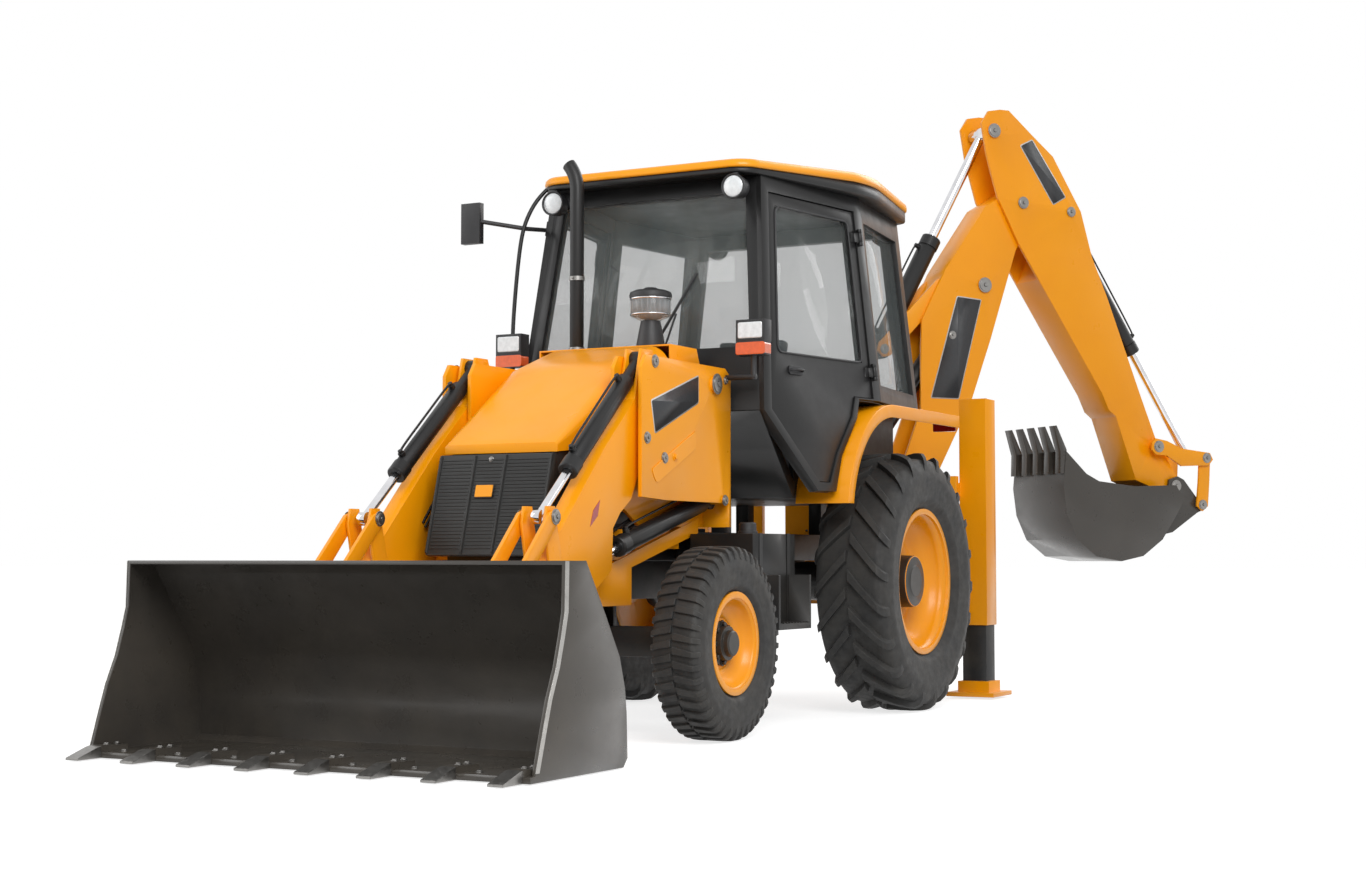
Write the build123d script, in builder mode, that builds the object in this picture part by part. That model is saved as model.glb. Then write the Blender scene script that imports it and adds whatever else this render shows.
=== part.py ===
from build123d import *
import os
from math import cos, radians, sin, sqrt, tan

os.makedirs("parts", exist_ok=True)

# Backhoe loader at full size in millimetres
# While it is drawn, X points forward, Y to the machine's left and Z up from the ground,
# with the rear axle over X = 0. The finished pieces are then moved together, so that the
# origin is at the bottom centre of the whole machine.

# Wheels and axles
WHEELBASE = 2170
FRONT_TYRE_R = 450
FRONT_TYRE_W = 250
FRONT_TRACK = 870
FRONT_RIM_R = 222
REAR_TYRE_R = 715
REAR_TYRE_W = 430
REAR_TRACK = 885
REAR_RIM_R = 385
RIM_WALL = 12
RIM_FLANGE = 18
HUB_CAP = 20
KINGPIN_Y = FRONT_TRACK - 190
KINGPIN_R = 30
SPINDLE_R = 34
REAR_SHAFT_R = 60
AXLE_BEAM_H = 140
AXLE_TUBE_R = 110

# Frame
RAIL_IN = 200
RAIL_OUT = 280
RAIL_Z0 = REAR_TYRE_R + 115
RAIL_Z1 = RAIL_Z0 + 150
RAIL_REAR_X = -1010
RAIL_FRONT_X = 2700
ENGINE_X0 = WHEELBASE - 370
ENGINE_X1 = 2500
ENGINE_TOP = 1320
GEARBOX_X0 = 1000

# Side tanks
TANK_L = 485
TANK_X1 = WHEELBASE - FRONT_TYRE_R - 115
TANK_X0 = TANK_X1 - TANK_L
TANK_Z0 = 490
TANK_Z1 = RAIL_Z0 + 135
TANK_IN = 430
TANK_OUT = 780
STEP_OUT = 900

# Fits
PIN_FIT = 0.05
SEAT_GAP = 0.3
SIDE_GAP = 6

# Loader: pins as X and Z in the side view
LOADER_Y = 470
ARM_W = 90
ARM_PIVOT = (1610, 1710)
ARM_PIVOT_R = 40
LIFT_BASE = (1506, 1134)
LIFT_EYE = (2575, 850)
TILT_BASE = (2205, 1785)
TILT_EYE = (3090, 1023)
LEVER_PIVOT = (2990, 640)
BUCKET_PIVOT = (3385, 280)
BUCKET_LINK_PIN = (3500, 600)
LOADER_PIN_R = 25
TOWER_PLATE = 20
TOWER_IN_Y = 405
TOWER_OUT_Y = 555
LEVER_PLATE = 15
LINK_PLATE = 18
CROSS_TUBE_R = 60
CROSS_TUBE = (2870, 650)
LASHING_EYE = (2580, 680)
LASHING_R = 22
LASHING_PLATE = 25

# Loader bucket
BUCKET_W = 2235
BUCKET_SIDE = 16
BUCKET_BOTTOM = 5
EDGE_PLATE = 25
TOOTH_COUNT = 8
TOOTH_W = 70
TOOTH_PITCH = (BUCKET_W - TOOTH_W - 65) / (TOOTH_COUNT - 1)

# Rams: barrel radius, rod radius
LIFT_RAM = (45, 25)
TILT_RAM = (42, 21)
BOOM_RAM = (62, 34)
DIPPER_RAM = (60, 32)
HOE_BUCKET_RAM = (52, 28)
RAM_EYE = 1.5
RAM_END = 12

# Backhoe: pins as distance out from the slew axis and Z
SLEW_X = -1400
SLEW_DEG = 38
SLEW_PIN_R = 45
BOOM_FOOT = (200, 900)
BOOM_TOP = (1236, 3205)
BOOM_RAM_BASE = (60, 1450)
BOOM_RAM_EYE = (945, 2641)
DIPPER_RAM_BASE = (205, 2190)
DIPPER_RAM_EYE = (1010, 3670)
HOE_RAM_BASE = (1615, 3170)
HOE_LEVER_PIVOT = (2263, 1600)
HOE_ROD_PIN = (2663, 1530)
HOE_BUCKET_PIVOT = (2435, 1337)
HOE_LINK_PIN = (2640, 1210)
HOE_PIN_R = 30
BOOM_W = 230
BOOM_PLATE = 20
DIPPER_IN = 121
DIPPER_PLATE = 20
HOE_BUCKET_W = 600
HOE_BUCKET_PLATE = 16
HOE_TEETH = 5
EAR_N = 155
EAR_T = 18
LINK_N = 177
LINK_T = 16
TIP_LEVER_N = 199
TIP_LEVER_T = 18

# Rear frame and stabilisers
LEG_X = -1160
LEG_Y = 945
LEG_BOX = 170
LEG_WALL = 10
LEG_BOX_Z0 = 440
LEG_BOX_Z1 = 1810
FOOT_Z0 = 14
FOOT_L = 330
FOOT_W = 300
CARRIAGE_HALF_W = 230
SLIDE_X = -1110

# Cab
SIDE_RAKE = 0.19
SIDE_LEAN = 0.11
SIDE_ORIGIN = (800, 741, 2300)
QUARTER_RAKE = -0.1356
FLOOR_Z = 1190
SHELF_T = 12
COWL_TOP = 1912
WAIST_Z = 1692
ROOF_Z0 = 2830
ROOF_Z1 = 2950
ROOF_DROP = 40
ROOF_DROP_X = 860
FRAME_T = 60
DOOR_T = 45
DOOR_GAP = 5
GLASS_T = 6
FENDER_TOP = 1690
FENDER_OUT = 950
FENDER_IN = 640
FENDER_T = 10


def side_plane(y):
    """Return the side view plane at a distance to the left, with X and Z as its axes."""
    return Plane(origin=(0, y, 0), x_dir=(1, 0, 0), z_dir=(0, -1, 0))


def hoe_plane(offset=0):
    """Return the backhoe's own plane, with distance from the slew axis and Z as its axes."""
    out = Vector(-cos(radians(SLEW_DEG)), sin(radians(SLEW_DEG)), 0)
    side = Vector(sin(radians(SLEW_DEG)), cos(radians(SLEW_DEG)), 0)
    return Plane(origin=Vector(SLEW_X, 0, 0) + side * offset, x_dir=out, z_dir=side)


def hoe_point(reach, height, offset=0):
    """Return a point of the backhoe's plane in the machine's frame."""
    return hoe_plane(offset).from_local_coords((reach, height, 0))


def outline(plane, points, radius=0):
    """Return a closed flat face through points on a plane."""
    with BuildSketch(plane) as profile:
        with BuildLine():
            Polyline(*points, close=True)
        make_face()
        if radius:
            fillet(profile.vertices(), radius)
    return profile.sketch


def slab(plane, points, thickness, radius=0, mode=Mode.ADD):
    """Add a flat plate, centred on its plane, to the part being built."""
    extrude(outline(plane, points, radius), amount=thickness / 2, both=True, mode=mode)


def block(low, high, mode=Mode.ADD):
    """Add a box between two corners."""
    middle = [(a + b) / 2 for a, b in zip(low, high)]
    with Locations(tuple(middle)):
        Box(high[0] - low[0], high[1] - low[1], high[2] - low[2], mode=mode)


def bar(start, end, radius, mode=Mode.ADD):
    """Add a round bar between two points."""
    along = Vector(*end) - Vector(*start)
    with BuildSketch(Plane(origin=Vector(*start), z_dir=along)) as section:
        Circle(radius)
    extrude(section.sketch, amount=along.length, mode=mode)


def cross_bar(pin, y0, y1, radius, mode=Mode.ADD):
    """Add a round bar across the machine at a pin of the side view."""
    bar((pin[0], y0, pin[1]), (pin[0], y1, pin[1]), radius, mode)


def hoe_bar(pin, offset0, offset1, radius, mode=Mode.ADD):
    """Add a round bar across the backhoe's plane at one of its pins."""
    start = hoe_point(pin[0], pin[1], offset0)
    end = hoe_point(pin[0], pin[1], offset1)
    bar(tuple(start), tuple(end), radius, mode)


def between(start, end, distance):
    """Return the point at a distance from start towards end."""
    along = Vector(*end) - Vector(*start)
    return tuple(Vector(*start) + along.normalized() * distance)


def ram_barrel(base, eye, across, sizes, length, eye_half, neck):
    """Add a ram's barrel with its base eye on a narrower neck, bored for the rod."""
    barrel_r = sizes[0]
    rod_r = sizes[1]
    side = Vector(*across)
    bar(tuple(Vector(*base) - side * eye_half), tuple(Vector(*base) + side * eye_half), barrel_r)
    bar(base, between(base, eye, neck + 1), min(barrel_r, eye_half))
    bar(between(base, eye, neck), between(base, eye, length), barrel_r)
    start = between(base, eye, barrel_r + RAM_END)
    bar(start, between(base, eye, length + 1), rod_r + PIN_FIT * 6, Mode.SUBTRACT)


def ram_rod(base, eye, across, sizes, start, eye_half):
    """Add a ram's rod with the eye at its end."""
    rod_r = sizes[1]
    side = Vector(*across)
    bar(between(base, eye, start), eye, rod_r)
    bar(tuple(Vector(*eye) - side * eye_half), tuple(Vector(*eye) + side * eye_half), rod_r * RAM_EYE)


def finish(part, name):
    """Label a piece and keep it for export."""
    part.label = name
    pieces[name] = part


pieces = {}
MIRROR = ((1, "left"), (-1, "right"))
ACROSS = (0, 1, 0)
HOE_ACROSS = tuple(hoe_plane().z_dir)


# Main frame
with BuildPart() as main_frame:
    for side in (1, -1):
        block((RAIL_REAR_X, min(side * RAIL_IN, side * RAIL_OUT), RAIL_Z0),
              (RAIL_FRONT_X, max(side * RAIL_IN, side * RAIL_OUT), RAIL_Z1))
    block((RAIL_FRONT_X - 40, -RAIL_OUT, 700), (RAIL_FRONT_X, RAIL_OUT, RAIL_Z1))
    block((RAIL_REAR_X, -RAIL_OUT, RAIL_Z0), (RAIL_REAR_X + 50, RAIL_OUT, RAIL_Z1))
    for x in (WHEELBASE - 90, WHEELBASE + 60):
        block((x, -RAIL_OUT, 400), (x + 30, RAIL_OUT, RAIL_Z0))
finish(main_frame.part, "main_frame")

# Engine and gearbox as plain blocks, with the shaft to the rear axle
with BuildPart() as powertrain:
    block((ENGINE_X0, -RAIL_IN, RAIL_Z0 + 20), (ENGINE_X1, RAIL_IN, ENGINE_TOP))
    block((GEARBOX_X0, -RAIL_IN, RAIL_Z0 - 190), (ENGINE_X0, RAIL_IN, RAIL_Z0 + 170))
    bar((GEARBOX_X0, 0, REAR_TYRE_R + 15), (200, 0, REAR_TYRE_R + 15), 40)
finish(powertrain.part, "powertrain")

# Front axle
AXLE_Z0 = FRONT_TYRE_R - AXLE_BEAM_H / 2
AXLE_Z1 = FRONT_TYRE_R + AXLE_BEAM_H / 2
with BuildPart() as front_axle:
    block((WHEELBASE - 60, -KINGPIN_Y, AXLE_Z0), (WHEELBASE + 60, KINGPIN_Y, AXLE_Z1))
    for side in (1, -1):
        bar((WHEELBASE, side * KINGPIN_Y, AXLE_Z0), (WHEELBASE, side * KINGPIN_Y, AXLE_Z1), 60)
    for side in (1, -1):
        bar((WHEELBASE, side * KINGPIN_Y, AXLE_Z0 - 1), (WHEELBASE, side * KINGPIN_Y, AXLE_Z1 + 1),
            KINGPIN_R + PIN_FIT, Mode.SUBTRACT)
finish(front_axle.part, "front_axle")

# Steering knuckles: two arms on the kingpin, a web and the wheel's spindle
SPINDLE_END = FRONT_TRACK + 20
for side, name in MIRROR:
    with BuildPart() as knuckle:
        bar((WHEELBASE, side * KINGPIN_Y, AXLE_Z0 - 40), (WHEELBASE, side * KINGPIN_Y, AXLE_Z1 + 40), KINGPIN_R)
        for z in (AXLE_Z0 - 40, AXLE_Z1 + 5):
            y0 = side * (KINGPIN_Y - 55)
            y1 = side * (KINGPIN_Y + 110)
            block((WHEELBASE - 50, min(y0, y1), z), (WHEELBASE + 50, max(y0, y1), z + 35))
        y0 = side * (KINGPIN_Y + 70)
        y1 = side * (KINGPIN_Y + 110)
        block((WHEELBASE - 50, min(y0, y1), AXLE_Z0 - 40), (WHEELBASE + 50, max(y0, y1), AXLE_Z1 + 40))
        bar((WHEELBASE, y1, FRONT_TYRE_R), (WHEELBASE, side * SPINDLE_END, FRONT_TYRE_R), SPINDLE_R)
    finish(knuckle.part, f"knuckle_{name}")

# Rear axle with its saddles under the rails
with BuildPart() as rear_axle:
    bar((0, -640, REAR_TYRE_R), (0, 640, REAR_TYRE_R), AXLE_TUBE_R)
    bar((0, -170, REAR_TYRE_R), (0, 170, REAR_TYRE_R), 190)
    for side in (1, -1):
        block((-90, min(side * RAIL_IN, side * RAIL_OUT), 700), (90, max(side * RAIL_IN, side * RAIL_OUT), RAIL_Z0))
        bar((0, side * 600, REAR_TYRE_R), (0, side * 655, REAR_TYRE_R), 160)
        bar((0, side * 600, REAR_TYRE_R), (0, side * 960, REAR_TYRE_R), REAR_SHAFT_R)
finish(rear_axle.part, "rear_axle")

# Wheels: name, X, tyre radius, width, track, rim radius, shaft radius, hub radius, disc place, hub end,
# flats round the tyre, lug height, lug width, lug slant in degrees, shift of each half's lugs
WHEELS = [
    ("front", WHEELBASE, FRONT_TYRE_R, FRONT_TYRE_W, FRONT_TRACK, FRONT_RIM_R, SPINDLE_R,
     75, 5, 45, 24, 12, 28, 0, 0),
    ("rear", 0, REAR_TYRE_R, REAR_TYRE_W, REAR_TRACK, REAR_RIM_R, REAR_SHAFT_R,
     140, -40, 110, 22, 32, 48, 35, 24),
]


def tyre_section(centre, along, radius, flats):
    """Return one regular section across the axle, its flats at a radius."""
    with BuildSketch(Plane(origin=centre + Vector(0, along, 0), x_dir=(1, 0, 0), z_dir=(0, 1, 0))) as section:
        RegularPolygon(radius, flats, major_radius=False, rotation=180 / flats)
    return section.sketch


def lug_places(centre, tip_r, width, flats, slant, shift):
    """Return the places of two lugs on each flat: bars across the tread, or a slanted bar on each half."""
    places = []
    for index in range(flats):
        for half in (1, -1):
            angle = 360 / flats * index + (0 if slant else half * 90 / flats)
            spot = Location(centre) * Location((0, 0, 0), (0, angle, 0))
            if slant:
                spot = spot * Location((half * shift, half * width * 0.22, -tip_r))
                spot = spot * Location((0, 0, 0), (0, 0, half * slant))
            else:
                spot = spot * Location((0, 0, -tip_r))
            places.append(spot)
    return places


for axle, x, tyre_r, width, track, rim_r, shaft_r, hub_r, disc, hub_end, flats, lug_h, lug_w, slant, shift in WHEELS:
    for side, name in MIRROR:
        centre = Vector(x, side * track, tyre_r)
        radial = Plane(origin=centre, x_dir=(0, 0, 1), z_dir=(-side, 0, 0))
        spin = Axis(centre, (0, 1, 0))
        bead = width * 0.36
        wall = tyre_r - rim_r
        carcass = tyre_r - lug_h
        lug_l = (width * 0.39 - lug_w * sin(radians(slant))) / cos(radians(slant)) if slant else width * 0.83
        with BuildPart() as tyre:
            extrude(tyre_section(centre, -width / 2, carcass, flats), amount=width)
            for end in (0, -1):
                face = tyre.faces().sort_by(Axis.Y)[end]
                chamfer(face.edges(), length=carcass - rim_r - 0.62 * wall, length2=0.08 * width, reference=face)
            extrude(tyre_section(centre, -width, rim_r + SEAT_GAP, flats), amount=2 * width, mode=Mode.SUBTRACT)
            for low, high in ((-width, -bead), (bead, width)):
                extrude(tyre_section(centre, low, rim_r + 0.3 * wall, flats), amount=high - low,
                        mode=Mode.SUBTRACT)
            with Locations(*lug_places(centre, tyre_r, width, flats, slant, shift)):
                Box(lug_w, lug_l, lug_h * 2.5, align=(Align.CENTER, Align.CENTER, Align.MIN))
        finish(tyre.part, f"{axle}_tyre_{name}")
        with BuildPart() as rim:
            revolve(outline(radial, [
                (rim_r - RIM_WALL, -bead - 12), (rim_r + 18, -bead - 12), (rim_r + 18, -bead - SEAT_GAP),
                (rim_r, -bead - SEAT_GAP), (rim_r, bead + SEAT_GAP), (rim_r + 18, bead + SEAT_GAP),
                (rim_r + 18, bead + 12), (rim_r - RIM_WALL, bead + 12),
                (rim_r - RIM_WALL, disc + 14), (hub_r, disc + 14), (hub_r, hub_end), (0, hub_end),
                (0, hub_end - HUB_CAP), (shaft_r + PIN_FIT, hub_end - HUB_CAP),
                (shaft_r + PIN_FIT, -70), (hub_r, -70), (hub_r, disc), (rim_r - RIM_WALL, disc),
            ]), axis=spin)
        finish(rim.part, f"{axle}_rim_{name}")

# Side tanks with a step, left and right of the gearbox
with BuildPart() as side_tanks:
    for side in (1, -1):
        y0 = side * (RAIL_OUT + SEAT_GAP)
        y1 = side * TANK_IN
        y2 = side * TANK_OUT
        y3 = side * STEP_OUT
        block((TANK_X0 + 10, min(y0, y1), RAIL_Z0 + 10), (TANK_X0 + 360, max(y0, y1), TANK_Z1 - 5))
        block((TANK_X0, min(y1, y2), TANK_Z0), (TANK_X1, max(y1, y2), TANK_Z1))
        block((TANK_X0 + 60, min(y2, y3), TANK_Z0), (TANK_X1 - 45, max(y2, y3), TANK_Z0 + 30))
        for x in (TANK_X0 + 60, TANK_X1 - 65):
            block((x, min(y2, y3), TANK_Z0 + 30), (x + 20, max(y2, y3), 760))
finish(side_tanks.part, "side_tanks")

# Grille with the panels at the sides of the engine
GRILLE_X = RAIL_FRONT_X + SEAT_GAP
GRILLE_RIBS = ((-304, 10), (-112, 8), (58, 8), (304, 10))
with BuildPart() as grille:
    slab(side_plane(0), [(2676, 1326), (2710, 1326), (2835, 860), (2805, 852), (GRILLE_X, 852), (GRILLE_X, 990)], 620)
    for side in (1, -1):
        slab(side_plane(side * 288), [(2695, RAIL_Z1 + SEAT_GAP), (2700, 1100), (2650, 1330), (1750, 1560),
                                      (1750, RAIL_Z1 + SEAT_GAP)], 16)
    for y, wide in GRILLE_RIBS:
        slab(side_plane(y), [(2705, 1320), (2717, 1320), (2839, 866), (2827, 866)], wide)
    slab(side_plane(-33), [(2745, 1180), (2757, 1183), (2774, 1121), (2762, 1118)], 98)
finish(grille.part, "grille")

# Hood as a lofted shell: X, half width, bottom Z, top Z, shoulder radius
HOOD_SECTIONS = [(2680, 312, 1332, 1376, 18), (2080, 372, 1400, 1790, 110), (1742, 388, 1440, 1905, 120)]
HOOD_SKIN = 8
HOOD_PIN = (1754, 1872)
HOOD_PIN_R = 6


def hood_section(x, half, z0, z1, shoulder):
    """Return one arched section of the hood."""
    with BuildSketch(Plane(origin=(x, 0, 0), x_dir=(0, 1, 0), z_dir=(1, 0, 0))) as section:
        with BuildLine():
            Polyline((-half, z1 - shoulder), (-half, z0), (half, z0), (half, z1 - shoulder))
            RadiusArc((half, z1 - shoulder), (half - shoulder, z1), -shoulder)
            Line((half - shoulder, z1), (-half + shoulder, z1))
            RadiusArc((-half + shoulder, z1), (-half, z1 - shoulder), -shoulder)
        make_face()
    return section.sketch


with BuildPart() as hood:
    loft([hood_section(*row) for row in HOOD_SECTIONS], ruled=True)
    inner = []
    for x, half, z0, z1, shoulder in HOOD_SECTIONS:
        place = x - HOOD_SKIN if x == HOOD_SECTIONS[0][0] else x
        inner.append(hood_section(place, half - HOOD_SKIN, z0 - 60, z1 - HOOD_SKIN, shoulder - HOOD_SKIN))
    loft(inner, ruled=True, mode=Mode.SUBTRACT)
    for side in (1, -1):
        slab(side_plane(side * 286), [(1746, 1899), (1741, 1868), (1752, 1858), (1770, 1866), (1792, 1886)], 12)
        cross_bar(HOOD_PIN, side * 270, side * 300, HOOD_PIN_R + PIN_FIT, Mode.SUBTRACT)
finish(hood.part, "hood")

# Cowl behind the hood, under the windscreen
with BuildPart() as cowl:
    slab(side_plane(0), [(1400, 1240), (1400, 1800), (1450, COWL_TOP), (1730, COWL_TOP), (1730, 1240)], 2 * 385)
    slab(side_plane(0), [(1408, 1200), (1408, 1790), (1460, COWL_TOP - 8), (1740, COWL_TOP - 8), (1740, 1200)],
         2 * 377, mode=Mode.SUBTRACT)
    for side in (1, -1):
        block((1408, min(side * RAIL_IN, side * RAIL_OUT), RAIL_Z1), (1500, max(side * RAIL_IN, side * RAIL_OUT), 1300))
        block((1400, min(side * RAIL_IN, side * 385), 1240), (1500, max(side * RAIL_IN, side * 385), 1300))
        slab(side_plane(side * 262), [(1640, COWL_TOP - 4), (1640, 1852), (1745, 1856), (1764, 1866), (1764, 1878),
                                      (1752, 1882), (1742, 1874), (1712, 1870), (1706, COWL_TOP - 4)], 12)
        cross_bar(HOOD_PIN, side * 256, side * 298, HOOD_PIN_R)
finish(cowl.part, "cowl")

# Exhaust stack
EXHAUST = (1500, -300)
EXHAUST_R = 37
with BuildPart() as exhaust_stack:
    bar((EXHAUST[0], EXHAUST[1], COWL_TOP + SEAT_GAP), (EXHAUST[0], EXHAUST[1], 2780), EXHAUST_R)
    with BuildSketch(Plane(origin=(EXHAUST[0], EXHAUST[1], 2780), x_dir=(1, 0, 0), z_dir=(0, 0, 1))) as stack_end:
        Circle(EXHAUST_R)
    revolve(stack_end.sketch, axis=Axis((EXHAUST[0], EXHAUST[1] - 220, 2780), (1, 0, 0)), revolution_arc=40)
finish(exhaust_stack.part, "exhaust_stack")

# Air cleaner bowl on its neck
CLEANER = (1600, 200)
with BuildPart() as pre_cleaner:
    neck = Plane(origin=(CLEANER[0], CLEANER[1], 0), x_dir=(1, 0, 0), z_dir=(0, -1, 0))
    base = COWL_TOP + SEAT_GAP
    revolve(outline(neck, [(0, base), (75, base), (62, 1990), (48, 2060), (100, 2075), (107, 2090),
                           (107, 2175), (100, 2200), (60, 2216), (0, 2220)]),
            axis=Axis((CLEANER[0], CLEANER[1], 0), (0, 0, 1)))
finish(pre_cleaner.part, "pre_cleaner")

# Cab: planes of the leaning sides
LEAN = Vector(0, SIDE_LEAN, 0)


def cab_side(side, rake, x, y, z):
    """Return a leaning side plane of the cab through a point, with X and Z as its axes."""
    plane = Plane(origin=(x, side * y, z), x_dir=(1, -side * rake, 0),
                  z_dir=(-side * rake, -1, -side * SIDE_LEAN))
    return plane


def on_side(points, x0=SIDE_ORIGIN[0], z0=SIDE_ORIGIN[2], rake=SIDE_RAKE):
    """Turn X and Z of a side view into distances on a leaning plane."""
    square = 1 + rake * rake
    rise = sqrt(SIDE_LEAN * SIDE_LEAN * square + square * square) / square
    placed = []
    for x, z in points:
        along = (x - x0 + (z - z0) * SIDE_LEAN * rake / square) * sqrt(square)
        placed.append((along, (z - z0) * rise))
    return placed


def side_y(x, z):
    """Return how far out the door's plane is at X and Z."""
    return SIDE_ORIGIN[1] - SIDE_RAKE * (x - SIDE_ORIGIN[0]) - SIDE_LEAN * (z - SIDE_ORIGIN[2])


DOOR_OUTLINE = [(1310, 1600), (1150, 2740), (385, 2740), (385, 1710), (560, 1710), (605, 1600),
                (775, 1400), (870, 1240), (960, 1240)]
FRAME_OUTLINE = [(1380, 1590), (1205, ROOF_Z0), (310, ROOF_Z0), (310, WAIST_Z + 5), (520, WAIST_Z + 5), (560, 1590),
                 (735, 1385), (825, FLOOR_Z), (985, FLOOR_Z)]
DOOR_WINDOW = [(1205, 1900), (1100, 2680), (445, 2680), (445, 1900)]
B_POST = (350, side_y(350, WAIST_Z), WAIST_Z)
QUARTER_OUTLINE = [(335, WAIST_Z + 5), (335, ROOF_Z0), (-540, ROOF_Z0), (-560, WAIST_Z + 5)]
QUARTER_WINDOW = [(250, 1790), (250, 2700), (-455, 2700), (-480, 1790)]


def quarter_points(points):
    """Turn X and Z into distances on the rear quarter's plane."""
    return on_side(points, B_POST[0], B_POST[2], QUARTER_RAKE)


def grown(plane, points, amount):
    """Return a face whose border lies outside the points by an amount."""
    with BuildSketch(plane) as profile:
        with BuildLine():
            Polyline(*points, close=True)
        make_face()
        offset(amount=amount, kind=Kind.INTERSECTION)
    return profile.sketch


FRONT_SLOPE = (FRAME_OUTLINE[0][0] - FRAME_OUTLINE[1][0]) / (ROOF_Z0 - 1590)
DOOR_PIN_X = 373
DOOR_PIN_OUT = 48
DOOR_PIN_R = 8
DOOR_HINGES = (1850, 2600)


def door_pin_line(side):
    """Return the direction of the door's hinge line, which lies along the door's rear edge."""
    return Vector(0, -side * SIDE_LEAN, 1).normalized()


def door_pin(side, along, away=0):
    """Return a point on the door's hinge line, at a distance along it and a distance out of it."""
    plane = cab_side(side, SIDE_RAKE, *SIDE_ORIGIN)
    placed = on_side([(DOOR_PIN_X, DOOR_HINGES[0])])[0]
    foot = plane.from_local_coords((placed[0], placed[1], -side * (DOOR_PIN_OUT + away)))
    return foot + door_pin_line(side) * along


def hinge_block(side, along, points, height):
    """Add a block beside the door's hinge line, drawn across the line."""
    plane = cab_side(side, SIDE_RAKE, *SIDE_ORIGIN)
    start = door_pin(side, along)
    across = Plane(origin=start, x_dir=plane.x_dir, z_dir=door_pin_line(side))
    extrude(outline(across, [(x, y * side) for x, y in points]), amount=height)


SCREEN = Plane(origin=(FRAME_OUTLINE[0][0] - 30, 0, 1590), x_dir=(0, 1, 0), z_dir=(1, 0, FRONT_SLOPE))
SCREEN_H = (ROOF_Z0 - 1590) * sqrt(1 + FRONT_SLOPE ** 2)
A_LOW = side_y(1380, 1590)
A_HIGH = side_y(1205, ROOF_Z0)
C_LOW = B_POST[1] + QUARTER_RAKE * (B_POST[0] + 560)
C_HIGH = B_POST[1] + QUARTER_RAKE * (B_POST[0] + 540) - SIDE_LEAN * (ROOF_Z0 - WAIST_Z)
SCREEN_WINDOW = [(-630, 335), (630, 335), (550, 1165), (-550, 1165)]
REAR_WINDOW = [(-C_LOW + 75, 1760), (C_LOW - 75, 1760), (C_HIGH - 65, 2740), (-C_HIGH + 65, 2740)]
REAR_PLANE = Plane(origin=(-530, 0, 0), x_dir=(0, 1, 0), z_dir=(1, 0, 0))

with BuildPart() as cab_frame:
    for side in (1, -1):
        door_plane = cab_side(side, SIDE_RAKE, *SIDE_ORIGIN)
        slab(door_plane, on_side(FRAME_OUTLINE), FRAME_T)
        extrude(grown(door_plane, on_side(DOOR_OUTLINE), DOOR_GAP), amount=FRAME_T, both=True, mode=Mode.SUBTRACT)
    for side in (1, -1):
        quarter_plane = cab_side(side, QUARTER_RAKE, *B_POST)
        ring = outline(quarter_plane, quarter_points(QUARTER_OUTLINE))
        ring = ring - outline(quarter_plane, quarter_points(QUARTER_WINDOW))
        extrude(ring, amount=FRAME_T / 2, both=True)
    slab(SCREEN, [(-A_LOW, 0), (A_LOW, 0), (A_HIGH, SCREEN_H), (-A_HIGH, SCREEN_H)], 60)
    slab(SCREEN, SCREEN_WINDOW, 80, mode=Mode.SUBTRACT)
    slab(side_plane(0), [(1380, 1590), (1340, 1620), (955, 1225), (985, FLOOR_Z - 30)], 2 * A_LOW)
    slab(REAR_PLANE, [(-C_LOW, WAIST_Z), (C_LOW, WAIST_Z), (C_HIGH, ROOF_Z0), (-C_HIGH, ROOF_Z0)], 60)
    slab(REAR_PLANE, REAR_WINDOW, 80, mode=Mode.SUBTRACT)
    block((-560, -FENDER_IN + SEAT_GAP, FLOOR_Z - 30), (985, FENDER_IN - SEAT_GAP, FLOOR_Z))
    block((-560, -FENDER_IN + 20, FLOOR_Z), (-530, FENDER_IN - 20, WAIST_Z + SHELF_T))
    for side in (1, -1):
        y0 = side * (FENDER_IN - 30)
        y1 = side * (FENDER_IN - SEAT_GAP)
        block((-560, min(y0, y1), FLOOR_Z - 30), (825, max(y0, y1), WAIST_Z + SHELF_T))
        with BuildSketch(Plane.XY.offset(WAIST_Z)) as shelf:
            with BuildLine():
                Polyline((-560, y0), (-560, side * C_LOW), (B_POST[0], side * B_POST[1]),
                         (520, side * side_y(520, WAIST_Z)), (520, y0), close=True)
            make_face()
        extrude(shelf.sketch, amount=SHELF_T)
    for side in (1, -1):
        y0 = side * RAIL_IN
        y1 = side * RAIL_OUT
        for x in (-400, 850):
            block((x, min(y0, y1), RAIL_Z1), (x + 80, max(y0, y1), FLOOR_Z - 30))
    block((-800, -1000, ROOF_Z0 - SEAT_GAP), (1600, 1000, ROOF_Z0 + 100), Mode.SUBTRACT)
    for side in (1, -1):
        for height in DOOR_HINGES:
            along = height - DOOR_HINGES[0]
            for start in (along - 46, along + 28):
                bar(tuple(door_pin(side, start)), tuple(door_pin(side, start + 18)), 14)
                hinge_block(side, start, [(-14, -22), (2, -22), (2, 0), (-14, 0)], 18)
            bar(tuple(door_pin(side, along - 46)), tuple(door_pin(side, along + 46)), DOOR_PIN_R)
finish(cab_frame.part, "cab_frame")

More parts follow.
